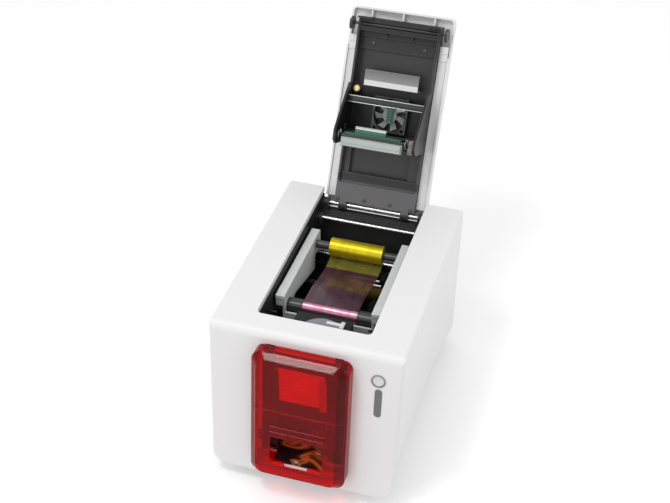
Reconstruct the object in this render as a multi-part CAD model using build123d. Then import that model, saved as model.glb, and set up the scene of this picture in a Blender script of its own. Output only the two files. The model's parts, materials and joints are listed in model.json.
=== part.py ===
from build123d import *
import math
import os

os.makedirs("parts", exist_ok=True)

# Desktop printer for plastic identity cards, lid standing open. Millimetres.
# +Z up, front towards -Y. Y is counted from the middle of the case while drawing; write() then
# shifts every piece so that the origin lies on the table under the middle of the whole object.

# ---- case -------------------------------------------------------------------
case_width = 205.0
case_depth = 281.0        # foot of the front panel to the rear face
case_top = 192.4          # height of the flat top over the table
panel_foot = 14.0         # height of the front panel's lower edge
front_lean = 22.4         # the panel's foot stands this far ahead of its top edge
side_taper = 2.8          # each side leans in by this much at panel_foot
wall = 2.5
top_front_round = 9.0
top_side_round = 3.5
front_edge_round = 3.5
panel_corner_round = 20.0
side_edge_height = 54.5   # lower edge of the side panels
side_edge_rear = 20.0     # the same edge at the rear face
side_edge_drop_y = 34.0   # where it starts to fall towards the rear
panel_return = 7.0        # how far the front panel wraps round below the side edge
casing_gap = 0.25         # between casing pieces that only lie side by side

half_width = case_width / 2
rear_y = case_depth / 2
front_foot_y = -case_depth / 2
front_top_y = front_foot_y + front_lean
panel_rise = case_top - panel_foot
lean_angle = math.degrees(math.atan2(front_lean, panel_rise))
panel_length = math.hypot(front_lean, panel_rise)

# ---- opening in the top and the lid ------------------------------------------
opening_half = 60.5
opening_front_y = -90.7
opening_corner = 5.0
lid_gap = 1.3
lid_half = opening_half - lid_gap
lid_crown = 195.0         # highest point of the closed lid
lid_edge_z = case_top + 0.6
lid_wall = 2.2
lid_skirt_z = 179.3       # lower edge of the lid's skirts when closed
lid_nose_z = 184.0        # the same, over the front quarter
lid_nose_reach = 181.0    # distance from the hinge where the skirts step up
lid_corner = 6.0
hinge_y = rear_y - 5.8
hinge_z = 175.8
hinge_rod_radius = 2.4
lid_open_angle = 118.0
running_gap = 0.05        # radial clearance of a shaft in its hole
moving_gap = 0.4          # between bodies that pass each other

# ---- cards and ribbon ---------------------------------------------------------
card_width = 54.0
card_length = 85.6
card_thickness = 0.76
card_plane = 125.0        # underside of a card on its way through
stack_cards = 50
roller_radius = 7.5
platen_y = 58.0
front_roller_y = -12.0
feed_roller_y = -76.0
rear_roller_y = 96.0
pinch_radius = 5.0
film_half = 30.0
film_thickness = 0.4
supply_y, supply_z = 68.0, 166.0
supply_radius = 10.4
takeup_y, takeup_z = -30.6, 157.5
takeup_radius = 8.7
core_radius = 8.0
spool_stub_radius = 3.0
film_dip_y, film_dip_z = 47.0, 152.5

# ---- red front covers, in the front panel's own plane --------------------------
hood_half = 51.0
hood_top_drop = 12.5      # distances down the panel from its top edge
hood_split_drop = 77.0
hood_bottom_drop = 167.0
hood_depth = 21.0
hood_bevel = 7.0
hood_straight = hood_depth - hood_bevel
hood_corner = 11.0
hood_wall = 2.6
hood_gap = 0.6
window_half = 28.5
window_top_drop = 112.0
window_foot_drop = 144.5
notch_half = 12.5
notch_foot_drop = 149.5


def slab(x0, x1, y0, y1, z0, z1):
    return Pos((x0 + x1) / 2, (y0 + y1) / 2, (z0 + z1) / 2) * Box(x1 - x0, y1 - y0, z1 - z0)


def bar_x(y, z, radius, x0, x1):
    """Round bar along X."""
    return Pos((x0 + x1) / 2, y, z) * Rot(0, 90, 0) * Cylinder(radius, x1 - x0)


def bar_y(x, z, radius, y0, y1):
    return Pos(x, (y0 + y1) / 2, z) * Rot(90, 0, 0) * Cylinder(radius, y1 - y0)


def bar_z(x, y, radius, z0, z1):
    return Pos(x, y, (z0 + z1) / 2) * Cylinder(radius, z1 - z0)


def outline(points):
    """Closed flat outline of (a, b, corner radius) points."""
    count = len(points)
    starts, arcs = [], []
    for i, (a, b, radius) in enumerate(points):
        here = Vector(a, b, 0)
        before = (Vector(*points[i - 1][:2], 0) - here).normalized()
        after = (Vector(*points[(i + 1) % count][:2], 0) - here).normalized()
        if radius <= 0:
            starts.append((here, here))
            arcs.append(None)
            continue
        half = math.radians(before.get_angle(after)) / 2
        reach = radius / math.tan(half)
        centre = here + (before + after).normalized() * (radius / math.sin(half))
        middle = centre + (here - centre).normalized() * radius
        starts.append((here + before * reach, here + after * reach))
        arcs.append(middle)
    edges = []
    for i in range(count):
        if arcs[i] is not None:
            edges.append(ThreePointArc(starts[i][0], arcs[i], starts[i][1]))
        edges.append(Line(starts[i][1], starts[(i + 1) % count][0]))
    return make_face(edges)


def prism_x(points, x0, x1):
    """Outline of (y, z, radius) points run along X from x0 to x1."""
    return extrude(Plane.YZ.offset(x0) * outline(points), x1 - x0)


def prism_y(points, y0, y1):
    """Outline of (x, z, radius) points run along Y from y0 to y1."""
    return extrude(Plane.XZ.offset(-y1) * outline(points), y1 - y0)


def mirrored(shape):
    return mirror(shape, about=Plane.YZ)


lid_tip_reach = hinge_y - opening_front_y - 0.8
lean_in = math.radians(180 - lid_open_angle)
overall_rear_y = hinge_y + lid_tip_reach * math.cos(lean_in) + (lid_crown - hinge_z) * math.sin(lean_in)
lean_rad = math.radians(lean_angle)
overall_front_y = front_top_y - (hood_bottom_drop - 5) * math.sin(lean_rad) - hood_depth * math.cos(lean_rad)
overall_mid_y = (overall_front_y + overall_rear_y) / 2


def write(name, *shapes):
    solids = [Pos(0, -overall_mid_y, 0) * solid for shape in shapes for solid in shape.solids()]
    export_step(Compound(children=solids) if len(solids) > 1 else solids[0], f"parts/{name}.step")


def panel_y(height):
    """Y of the front panel's outer face at a height."""
    return front_foot_y + (height - panel_foot) * front_lean / panel_rise


# The front panel's own frame: X across, Y up the panel from its top edge, Z outwards.
panel = Plane(origin=(0, front_top_y, case_top), x_dir=(1, 0, 0),
              z_dir=(0, -math.cos(math.radians(lean_angle)), math.sin(math.radians(lean_angle))))


def on_panel(shape):
    return panel.location * shape


def panel_slab(x0, x1, drop0, drop1, out0, out1):
    return on_panel(slab(x0, x1, -drop1, -drop0, out0, out1))


# ---- outer case ----------------------------------------------------------------
def rim(height, inset, front_round, rear_extra=0.0):
    """Plan outline of the case at a height, drawn in by inset."""
    lean_in = side_taper * (case_top - height) / panel_rise
    half = half_width - lean_in - inset
    front = panel_y(height) + inset
    back = rear_y + rear_extra
    corners = [(-half, front, front_round), (half, front, front_round), (half, back, 0), (-half, back, 0)]
    return Pos(0, 0, height) * outline(corners)


def hull(inset, low, rear_extra=0.0):
    """Case form drawn in by inset; its long top edges are rounded on the outside only."""
    top = case_top - inset
    corner = max(front_edge_round - inset, 0.8)
    body = loft([rim(low, inset, corner, rear_extra), rim(top, inset, corner, rear_extra)], ruled=True)
    nose = max(top_front_round - inset, 0.8)
    back = rear_y + rear_extra + 1
    along = prism_x([(panel_y(low - 40) + inset, low - 40, 0), (panel_y(top) + inset, top, nose),
                     (back, top, 0), (back, low - 40, 0)], -case_width, case_width)
    if inset > 0:
        return body & along
    foot_half = half_width - side_taper + 4
    across = prism_y([(-half_width, top, top_side_round), (-foot_half, low - 60, 0),
                      (foot_half, low - 60, 0), (half_width, top, top_side_round)],
                     front_foot_y - 5, back)
    return body & across & along


def side_edge(depth_below, grow=0.0):
    """Region under the side panels' lower edge, as (y, z, radius) points."""
    start = panel_y(side_edge_height) + panel_return
    return [(start, -depth_below, 0), (start, side_edge_height + grow, 5.0),
            (side_edge_drop_y, side_edge_height + grow, 60.0),
            (rear_y + 20, side_edge_rear - 6 + grow, 0), (rear_y + 20, -depth_below, 0)]


def panel_corner_cuts():
    """What the rounded lower corners of the front panel leave out."""
    foot_half = half_width - side_taper
    drop = panel_length
    keep = outline([(-foot_half, -drop, panel_corner_round), (foot_half, -drop, panel_corner_round),
                    (foot_half + 20, 60, 0), (-foot_half - 20, 60, 0)])
    blank = Pos(0, -drop / 2, 0) * Rectangle(case_width * 1.5, drop * 1.6)
    return on_panel(Pos(0, 0, -panel_return - 6) * extrude(blank - keep, panel_return + 12))


def front_hole():
    hole = panel_slab(-44, 44, 18, 160, -20, 5)
    return hole + panel_slab(-41, 41, hood_top_drop + 0.2, 22, -20, 5)


button_x, button_drop = half_width - 25.5, 30.0
bezel_radius = 7.5
cover_ear_inner = 33.0
cover_ear_half = 1.3      # half height of the ears round the pins
cover_lug = 3.0
cover_pin_radius = 1.0
cover_corner = 1.8        # rounding of the upper cover round its hinge pins
cover_pin_drop = hood_top_drop + cover_corner
cover_pin_out = cover_corner + 0.3
gauge_x, gauge_y = 3.0, -80.0    # thumb wheel that sets the card gauge
gauge_radius = 23.0
gauge_z = 169.0           # underside of the wheel
gauge_thickness = 2.2
gauge_post_radius = 2.5
gauge_hub_rise = 0.6
gauge_lever_rise = 1.2    # the lever over the wheel; it passes under the lid's lock bar
button_radius = 6.0
indicator_x, indicator_drop = button_x + 0.8, 57.2
indicator_half_width, indicator_half_length = 3.75, 17.0
top_opening_rear = rear_y + 2


def top_opening():
    plan = outline([(-opening_half, opening_front_y, opening_corner), (opening_half, opening_front_y, opening_corner),
                    (opening_half, top_opening_rear, 0), (-opening_half, top_opening_rear, 0)])
    return Pos(0, 0, case_top - 20) * extrude(plan, 40)


def outer_case():
    shell = hull(0, panel_foot) - hull(wall, panel_foot - 20, 10)
    shell -= prism_x(side_edge(60), -case_width, case_width)
    shell -= panel_corner_cuts()
    lip = opening_half + 1.8
    flange = slab(-lip, lip, opening_front_y - 1.8, rear_y, case_top - 6, case_top - wall)
    shell += flange
    shell -= top_opening()
    shell -= front_hole()
    shell -= on_panel(Pos(button_x, -button_drop, 0) * Cylinder(bezel_radius, 30))
    shell -= on_panel(Pos(indicator_x, -indicator_drop, 0) * indicator_solid(15, 0))
    for x in (button_x - 12, button_x + 12):
        shell += on_panel(Pos(x, -button_drop - 14, -wall - 3) * Cylinder(2.2, 6.4))
    return shell


def indicator_solid(reach, shrink):
    profile = RectangleRounded(2 * (indicator_half_width - shrink), 2 * (indicator_half_length - shrink),
                               indicator_half_width - shrink - 0.4)
    return Pos(0, 0, -reach / 2) * extrude(profile, reach)


write("outer_case", outer_case())
write("button_bezel", on_panel(Pos(button_x, -button_drop, (0.9 - wall) / 2)
                               * (Cylinder(bezel_radius, wall + 0.9) - Cylinder(button_radius + 0.3, 20))))
write("push_button", on_panel(Pos(button_x, -button_drop, -2.2) * fillet(Cylinder(button_radius, 5.6).edges(), 0.7)))
write("indicator_window", on_panel(Pos(indicator_x, -indicator_drop, (0.4 - wall) / 2) * extrude(
    RectangleRounded(2 * indicator_half_width, 2 * indicator_half_length, indicator_half_width - 0.4),
    (wall + 0.4) / 2, both=True)))
board_out = -wall - 6.2
write("indicator_board", panel_slab(button_x - 16, button_x + 15, 20, 78, board_out - 1.6, board_out)
      + on_panel(Pos(button_x, -button_drop, board_out + 0.5) * Cylinder(2.5, 1.0))
      + panel_slab(indicator_x - 2, indicator_x + 2, 44, 48, board_out, board_out + 2)
      + panel_slab(indicator_x - 2, indicator_x + 2, 56, 60, board_out, board_out + 2)
      + panel_slab(indicator_x - 2, indicator_x + 2, 68, 72, board_out, board_out + 2))

# ---- base tray and feet ----------------------------------------------------------
foot_height = 5.0
foot_radius = 9.0
tray_wall = 3.0
tray_foot_half = half_width - 15.5
tray_top_half = half_width - side_taper * (case_top - side_edge_height) / panel_rise - 1.0
tray_front_foot_y = front_foot_y + 20.0
tray_front_top_y = panel_y(side_edge_height) + wall + casing_gap
tray_rear_y = rear_y - wall - casing_gap
floor_top = foot_height + tray_wall
tray_front_cut_z = 39.0   # the tray's front wall is this low under the finished cards
chute_flange_half = 48.0
magazine_half = card_width / 2 + 0.6


def tray_solid(inset, low):
    high = side_edge_height + 30
    slope = (tray_top_half - tray_foot_half) / (side_edge_height - foot_height)
    low_half = tray_foot_half + (low - foot_height) * slope - inset
    high_half = tray_foot_half + (high - foot_height) * slope - inset
    lean = (tray_front_top_y - tray_front_foot_y) / (side_edge_height - foot_height)
    low_front = tray_front_foot_y + (low - foot_height) * lean + inset
    high_front = tray_front_foot_y + (high - foot_height) * lean + inset
    back = tray_rear_y - inset
    low_face = Pos(0, 0, low) * outline([(-low_half, low_front, 18), (low_half, low_front, 18),
                                         (low_half, back, 8), (-low_half, back, 8)])
    high_face = Pos(0, 0, high) * outline([(-high_half, high_front, 18), (high_half, high_front, 18),
                                           (high_half, back, 8), (-high_half, back, 8)])
    return loft([low_face, high_face], ruled=True)


def base_tray():
    under = prism_x([(front_foot_y - 20, -5, 0), (front_foot_y - 20, side_edge_height, 0),
                     (side_edge_drop_y, side_edge_height, 60.0), (rear_y + 20, side_edge_rear - 6, 0),
                     (rear_y + 20, -5, 0)], -case_width, case_width)
    tray = (tray_solid(0, foot_height) & under) - tray_solid(tray_wall, floor_top)
    for x in (-70, -35, 0, 35):
        tray -= slab(x - 10, x + 10, 60, 63, foot_height - 1, floor_top + 1)
        tray -= slab(x - 10, x + 10, 70, 73, foot_height - 1, floor_top + 1)
    tray -= slab(-chute_flange_half - 1, chute_flange_half + 1, front_foot_y, -110, tray_front_cut_z,
                 side_edge_height + 1)
    return tray


foot_x, foot_y = half_width - 32.5, 98.0
write("base_tray", base_tray())
feet = []
for sx in (-1, 1):
    for sy in (-1, 1):
        puck = Pos(sx * foot_x, sy * foot_y, foot_height / 2) * Cylinder(foot_radius, foot_height)
        feet.append(fillet(puck.edges().group_by(Axis.Z)[0], 1.2))
write("rubber_feet", *feet)

# ---- engine frame ------------------------------------------------------------------
plate_thickness = 2.5
plate_inner = opening_half - 1.0
plate_outer = plate_inner + plate_thickness
plate_front_y = opening_front_y - 1.2
plate_rear_y = rear_y - wall - casing_gap
plate_top = case_top - 6 - casing_gap
well_floor_top = 103.0
roller_z = card_plane - roller_radius
pinch_z = card_plane + card_thickness + pinch_radius
shaft_radius = 3.0
bush_radius = 5.0
ear_inner = 52.5
rail_inner = 47.5         # the ribbon cartridge's side rails
rail_outer = 57.0
cartridge_seat_z = 171.6
latch_setback = 18.6      # lock bar to the lid's front edge
latch_reach, latch_depth = lid_tip_reach - latch_setback, 1.5    # from the hinge, and below its axis
catch_y, catch_z = hinge_y - latch_reach + 9.4, hinge_z - latch_depth - 3.1
catch_radius = 1.5
tie_rod_y, tie_rod_z = 111.7, 170.0
tie_rod_radius = 2.2
shafts = [(platen_y, roller_z), (front_roller_y, roller_z), (feed_roller_y, roller_z), (rear_roller_y, roller_z),
          (front_roller_y, pinch_z), (rear_roller_y, pinch_z)]
belt_x0, belt_x1 = plate_outer + 2.0, plate_outer + 8.0
gear_x0, gear_x1 = plate_outer + 9.5, plate_outer + 14.0
idler_y, idler_z = platen_y + 18.0, roller_z - 24.0
motor_y, motor_z = idler_y - 20.0, idler_z - math.sqrt(24.0 ** 2 - 20.0 ** 2)


def side_plate(x0, x1):
    notch_y = tray_rear_y - tray_wall - casing_gap
    plate = prism_x([(plate_front_y, floor_top, 0), (plate_front_y, plate_top, 2), (plate_rear_y, plate_top, 2),
                     (plate_rear_y, side_edge_rear + 6, 0), (notch_y, side_edge_rear + 6, 0),
                     (notch_y, floor_top, 0)], x0, x1)
    plate -= prism_x([(plate_front_y + 20, floor_top + 14, 8), (plate_front_y + 20, 70, 8), (20, 70, 8),
                      (20, floor_top + 14, 8)], x0 - 1, x1 + 1)
    for y, z in shafts:
        plate += bar_x(y, z, bush_radius, x0, x1)
        plate -= bar_x(y, z, shaft_radius + running_gap, x0 - 1, x1 + 1)
    return plate


foot_flange = 12.0


def plate_fittings():
    """Foot flange, shelf that the ribbon cartridge sits on and the lid's catch pin, on the right."""
    extras = slab(plate_outer, plate_outer + foot_flange, -60, 100, floor_top, floor_top + 2)
    extras += slab(rail_outer - 3.5, plate_inner, -18, 78, cartridge_seat_z - 3, cartridge_seat_z)
    return extras + bar_x(catch_y, catch_z, catch_radius, ear_inner - 3, plate_inner)


right_plate = side_plate(plate_inner, plate_outer) + plate_fittings()
right_plate -= bar_x(motor_y, motor_z, 11.2, plate_inner - 1, plate_outer + 1)
right_plate += bar_x(idler_y, idler_z, shaft_radius, plate_inner, gear_x1 + 1)
right_plate += bar_x(idler_y, idler_z, shaft_radius + 1.5, plate_inner, gear_x0 - 0.3)
write("side_plate_left", mirrored(side_plate(plate_inner, plate_outer) + plate_fittings()))
write("side_plate_right", right_plate)
well_floor = slab(-plate_inner, plate_inner, plate_front_y, plate_rear_y, well_floor_top - 3, well_floor_top)
for y in (platen_y, front_roller_y, feed_roller_y, rear_roller_y):
    well_floor -= slab(-38, 38, y - 11, y + 11, well_floor_top - 4, well_floor_top + 1)
write("well_floor", well_floor)

deck_z = 168.0


def rear_deck():
    deck = slab(-plate_inner, plate_inner, tie_rod_y + 4, plate_rear_y, deck_z - 3, deck_z)
    deck += slab(-plate_inner, plate_inner, tie_rod_y + 4, tie_rod_y + 6.5, well_floor_top, deck_z)
    for i in range(3):
        ridge = tie_rod_y + 7.5 + 4.5 * i
        deck += slab(-50, 50, ridge, ridge + 1.6, deck_z, deck_z + 1.5)
    ear = prism_x([(hinge_y - 6, deck_z - 3, 0), (hinge_y - 6, hinge_z + 5.5, 5), (plate_rear_y, hinge_z + 5.5, 2),
                   (plate_rear_y, deck_z - 3, 0)], ear_inner, plate_inner)
    tie_ear = prism_x([(tie_rod_y - 5, deck_z - 5, 0), (tie_rod_y - 5, tie_rod_z + 4.5, 4),
                       (tie_rod_y + 6, tie_rod_z + 4.5, 4), (tie_rod_y + 6, deck_z - 5, 0)],
                      ear_inner + 2, plate_inner)
    for piece in (ear, tie_ear):
        deck += piece + mirrored(piece)
    deck -= bar_x(hinge_y, hinge_z, hinge_rod_radius, -plate_inner, plate_inner)
    return deck - bar_x(tie_rod_y, tie_rod_z, tie_rod_radius, -plate_inner, plate_inner)


write("rear_deck", rear_deck())
write("cross_rods", bar_x(hinge_y, hinge_z, hinge_rod_radius, -plate_inner, plate_inner),
      bar_x(tie_rod_y, tie_rod_z, tie_rod_radius, -plate_inner, plate_inner))

magazine_wall = 2.4
stack_height = stack_cards * card_thickness
stack_foot = card_plane + 0.2
stack_top = stack_foot + stack_height
stack_front_y = panel_y((stack_foot + stack_top) / 2) - hood_straight
stack_rear_y = stack_front_y + card_length
magazine_rear_y = stack_rear_y + 0.5
magazine_top = stack_top + 3.0
guide_inner = card_width / 2 + 0.5


def card_guide(y0, y1):
    """One side's grooved guide that a card's edge runs in, standing on the well floor."""
    guide = slab(guide_inner - 2.5, guide_inner + 4, y0, y1, card_plane - 2.2, card_plane - 0.2)
    guide += slab(guide_inner + 0.2, guide_inner + 4, y0, y1, well_floor_top, card_plane + 3.5)
    return guide


guides = []
for y0, y1 in ((magazine_rear_y + magazine_wall + 0.4, front_roller_y - 12), (front_roller_y + 12, platen_y - 22),
               (platen_y + 12, rear_roller_y - 11)):
    piece = card_guide(y0, y1)
    piece -= slab(0, guide_inner - 0.3, y0 - 1, y1 + 1, well_floor_top - 1, card_plane - 3)
    guides += [piece, mirrored(piece)]
write("card_guides", *guides)

# ---- transport rollers, belt, gears and motor ------------------------------------------
pulley_radius = 8.0
belt_thickness = 1.5
module_size = 1.0
platen_teeth, idler_teeth, pinion_teeth = 24, 36, 12


def gear_face(teeth, phase, module):
    """Spur gear outline on XY, one tooth centred at angle phase (degrees)."""
    pitch = 360 / teeth
    pitch_radius = module * teeth / 2
    root, tip = pitch_radius - 1.2 * module, pitch_radius + 0.9 * module
    points = []
    for i in range(teeth):
        for radius, share in ((root, -0.34), (tip, -0.13), (tip, 0.13), (root, 0.34)):
            angle = math.radians(phase + pitch * (i + share))
            points.append((radius * math.cos(angle), radius * math.sin(angle)))
    return make_face(Polyline(*points, close=True))


def gear_x(teeth, phase, y, z, x0, x1, bore, module=module_size):
    """Spur gear on an axis along X; phase is measured from +Y towards +Z."""
    face = gear_face(teeth, phase, module) - Circle(bore)
    return extrude(Plane.YZ.offset(x0) * (Pos(y, z, 0) * face), x1 - x0)


def mesh_phase(heading, phase, teeth, mate_teeth):
    """Phase of a mate that lies at angle heading from a gear, in mesh with it."""
    pitch, mate_pitch = 360 / teeth, 360 / mate_teeth
    share = ((heading - phase) / pitch) % 1
    return heading + 180 - mate_pitch * (0.5 - share)


def heading_to(y0, z0, y1, z1):
    return math.degrees(math.atan2(z1 - z0, y1 - y0))


def pulley(y):
    wheel = bar_x(y, roller_z, pulley_radius, belt_x0 + 0.4, belt_x1 - 0.4)
    wheel += bar_x(y, roller_z, pulley_radius + 2.2, belt_x0 - 0.6, belt_x0)
    wheel += bar_x(y, roller_z, pulley_radius - 1, belt_x0, belt_x1)
    return wheel - bar_x(y, roller_z, shaft_radius, belt_x0 - 2, belt_x1 + 2)


def roller(y, z, radius, half_length, lanes):
    """Rubber sleeves on a shaft: one long sleeve or two short lanes."""
    if lanes == 1:
        sleeve = bar_x(y, z, radius, -half_length, half_length)
    else:
        sleeve = bar_x(y, z, radius, -half_length, -half_length + 14)
        sleeve += bar_x(y, z, radius, half_length - 14, half_length)
    return sleeve - bar_x(y, z, shaft_radius, -half_length - 1, half_length + 1)


shaft_left, shaft_right = -plate_outer - 2.0, belt_x1 + 0.5
drives = [("platen", platen_y, 1, 32.0), ("front_transport", front_roller_y, 2, 24.0),
          ("feed", feed_roller_y, 2, 16.0), ("rear_transport", rear_roller_y, 2, 24.0)]
for name, y, lanes, half_length in drives:
    end = gear_x1 + 1.0 if name == "platen" else shaft_right
    shaft = bar_x(y, roller_z, shaft_radius, shaft_left, end) + pulley(y)
    sleeves = roller(y, roller_z, roller_radius, half_length, lanes)
    if name == "platen":
        write("platen_shaft", shaft)
        write("platen_roller", sleeves)
    else:
        write(f"{name}_roller", shaft, sleeves)
for name, y in (("front_pinch_roller", front_roller_y), ("rear_pinch_roller", rear_roller_y)):
    axle = bar_x(y, pinch_z, shaft_radius, -plate_outer - 1, plate_outer + 1)
    write(name, axle + bar_x(y, pinch_z, pinch_radius, -24, -10) + bar_x(y, pinch_z, pinch_radius, 10, 24))

belt_inner = pulley_radius + 0.3
belt_path = SlotCenterToCenter(rear_roller_y - feed_roller_y, 2 * (belt_inner + belt_thickness))
belt_path -= SlotCenterToCenter(rear_roller_y - feed_roller_y, 2 * belt_inner)
belt_mid = (rear_roller_y + feed_roller_y) / 2
write("drive_belt", extrude(Plane.YZ.offset(belt_x0 + 0.5) * (Pos(belt_mid, roller_z, 0) * belt_path),
                            belt_x1 - belt_x0 - 1.0))

platen_heading = heading_to(idler_y, idler_z, platen_y, roller_z)
motor_heading = heading_to(idler_y, idler_z, motor_y, motor_z)
idler_phase = platen_heading
write("platen_gear", gear_x(platen_teeth, mesh_phase(platen_heading, idler_phase, idler_teeth, platen_teeth),
                            platen_y, roller_z, gear_x0, gear_x1, shaft_radius))
write("idler_gear", gear_x(idler_teeth, idler_phase, idler_y, idler_z, gear_x0, gear_x1,
                           shaft_radius + running_gap))
motor_shaft_radius = 2.5
write("motor_pinion", gear_x(pinion_teeth, mesh_phase(motor_heading, idler_phase, idler_teeth, pinion_teeth),
                             motor_y, motor_z, gear_x0, gear_x1, motor_shaft_radius)
      + bar_x(motor_y, motor_z, motor_shaft_radius, plate_inner - 20, gear_x1 + 0.5))
motor = bar_x(motor_y, motor_z, 18.0, plate_inner - 34, plate_inner)
motor += slab(plate_inner - 2, plate_inner, motor_y - 29, motor_y + 29, motor_z - 8, motor_z + 8)
motor += bar_x(motor_y, motor_z, 11.0, plate_inner, plate_outer)
motor -= bar_x(motor_y, motor_z, motor_shaft_radius + running_gap, plate_inner - 20, plate_outer + 1)
write("stepper_motor", motor)

# ---- card feeder, cards and output chute ---------------------------------------------------
def up_to_panel(shape, out):
    """What of a shape lies behind the front panel's own plane moved outwards by out."""
    return shape - panel_slab(-80, 80, -20, 220, out, out + 90)


def feeder_frame():
    outer = magazine_half + magazine_wall
    box = slab(-outer, outer, front_foot_y, magazine_rear_y + magazine_wall, stack_foot - 3, magazine_top + 2)
    box -= slab(-magazine_half, magazine_half, front_foot_y - 5, magazine_rear_y, stack_foot, magazine_top)
    gate = stack_foot + card_thickness + 0.4
    box -= slab(-magazine_half, magazine_half, magazine_rear_y - 1, magazine_rear_y + 5, stack_foot, gate)
    box -= slab(-20, 20, feed_roller_y - 10, feed_roller_y + 10, stack_foot - 5, stack_foot + 1)
    box = up_to_panel(box, -wall - 2.6)
    flange = panel_slab(-50, 50, hood_top_drop - 1.0, 99, -wall - 2.6, -wall)
    cos_lean = panel_rise / panel_length
    flange -= panel_slab(-magazine_half, magazine_half, (case_top - magazine_top) / cos_lean,
                         (case_top - stack_foot) / cos_lean, -10, 5)
    legs = slab(-outer, -outer + 3, plate_front_y, magazine_rear_y, well_floor_top, stack_foot - 2)
    ear = panel_slab(cover_ear_inner, cover_ear_inner + 2.6, cover_pin_drop - cover_ear_half,
                     cover_pin_drop + cover_ear_half, -wall - 1, cover_pin_out)
    ear += on_panel(bar_x(-cover_pin_drop, cover_pin_out, cover_ear_half, cover_ear_inner, cover_ear_inner + 2.6))
    ear += on_panel(bar_x(-cover_pin_drop, cover_pin_out, cover_pin_radius, cover_ear_inner + 1,
                          cover_ear_inner + 3 + cover_lug))
    wall_plate = slab(-plate_inner, plate_inner, plate_front_y, plate_front_y + 2, well_floor_top, 183)
    wall_plate -= slab(-magazine_half, magazine_half, plate_front_y - 1, plate_front_y + 3, stack_foot, magazine_top)
    wall_plate -= slab(gauge_x - gauge_radius, gauge_x + gauge_radius, plate_front_y - 1, plate_front_y + 3,
                       magazine_top + 2, gauge_z + gauge_thickness + 1)
    frame = box + flange + legs + mirrored(legs) + ear + mirrored(ear) + wall_plate
    frame += bar_z(gauge_x, gauge_y, gauge_post_radius, magazine_top, gauge_z + gauge_thickness + gauge_hub_rise)
    return frame - bar_x(feed_roller_y, roller_z, shaft_radius + 1, -60, 60)


chute_front_z = 44.3      # floor of the output tray at its front end
chute_slope = 5.8         # degrees, rising towards the rear
chute_front_y = panel_y(chute_front_z) - hood_depth + hood_wall + 0.6
chute_rear_y = front_foot_y + 100


def chute_z(y):
    return chute_front_z + (y - chute_front_y) * math.tan(math.radians(chute_slope))


def chute_block(y0, y1, below, above, half):
    """Between two planes that follow the chute's floor."""
    return prism_x([(y0, chute_z(y0) - below, 0), (y0, chute_z(y0) + above, 0),
                    (y1, chute_z(y1) + above, 0), (y1, chute_z(y1) - below, 0)], -half, half)


def output_frame():
    """Dark chute under the feeder that finished cards slide down into the front tray."""
    outer = magazine_half + magazine_wall
    box = chute_block(front_foot_y - 20, chute_rear_y, 2.5, 38, outer)
    box -= chute_block(front_foot_y - 30, chute_rear_y - 3, 0, 50, magazine_half)
    box = up_to_panel(box, -wall - 2.6)
    leg = slab(outer - magazine_wall, outer, -110, chute_rear_y, floor_top, chute_front_z + 6)
    flange = panel_slab(-chute_flange_half, chute_flange_half, 99.4, 142, -wall - 2.6, -wall)
    flange -= panel_slab(-magazine_half, magazine_half, 103, 160, -10, 5)
    return box + leg + mirrored(leg) + flange


write("feeder_frame", feeder_frame())
write("output_frame", output_frame())
cards = []
for i in range(stack_cards // 5):
    z0 = stack_foot + 5 * i * card_thickness
    nudge = 0.25 * ((i * 3) % 4 - 1.5)
    cards.append(slab(-card_width / 2 + nudge / 2, card_width / 2 + nudge / 2, stack_front_y + nudge,
                      stack_rear_y + nudge - 0.4, z0, z0 + 5 * card_thickness))
write("blank_cards", *cards)


# ---- finished card, gauge wheel and the two red covers -----------------------------------------
card_front_y = chute_front_y + 0.8
write("printed_card", prism_x([(card_front_y, chute_z(card_front_y), 0),
                               (card_front_y, chute_z(card_front_y) + card_thickness, 0),
                               (card_front_y + card_length, chute_z(card_front_y + card_length) + card_thickness, 0),
                               (card_front_y + card_length, chute_z(card_front_y + card_length), 0)],
                              -card_width / 2, card_width / 2))

gauge_top = gauge_z + gauge_thickness
lever_top = gauge_top + gauge_lever_rise
gauge_wheel = bar_z(gauge_x, gauge_y, gauge_radius, gauge_z, gauge_top)
gauge_wheel += bar_z(gauge_x, gauge_y, gauge_post_radius + 2.5, gauge_z, gauge_top + gauge_hub_rise)
gauge_wheel += slab(gauge_x + 6, gauge_x + 20, gauge_y + 15, gauge_y + 19, gauge_z, lever_top)
gauge_wheel += slab(gauge_x + 17, gauge_x + 21, gauge_y + 12, gauge_y + 22, gauge_z, lever_top)
gauge_wheel -= bar_z(gauge_x, gauge_y, gauge_post_radius + running_gap, gauge_z - 1, gauge_z + 10)
write("gauge_wheel", gauge_wheel)


def hood_outline(half, top_drop, bottom_drop, corner):
    return outline([(-half, -bottom_drop, corner), (half, -bottom_drop, corner),
                    (half, -top_drop, corner), (-half, -top_drop, corner)])


def hood_solid(inset, back):
    """Outer form of the red front, in the panel's frame, drawn in by inset and starting at back."""
    half, corner = hood_half - inset, hood_corner - inset
    base = hood_outline(half, hood_top_drop + inset, hood_bottom_drop - inset, corner)
    crown = hood_outline(half - hood_bevel, hood_top_drop + 5 + inset, hood_bottom_drop - 5 - inset, corner - 2)
    straight = extrude(Pos(0, 0, back) * base, hood_straight - back)
    return straight + loft([Pos(0, 0, hood_straight) * base, Pos(0, 0, hood_depth - inset) * crown], ruled=True)


def above_split(gap):
    """Region over the parting plane, which runs up towards the panel."""
    face, root = hood_split_drop + 3 - gap, hood_split_drop - 3.5 - gap
    reach = hood_depth + 5
    slope = (face - root) / hood_depth
    points = [(5, -6, 0), (5, reach, 0), (-face - slope * 5, reach, 0), (-root + slope * 6, -6, 0)]
    return extrude(Plane.YZ.offset(-80) * outline(points), 160)


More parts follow.
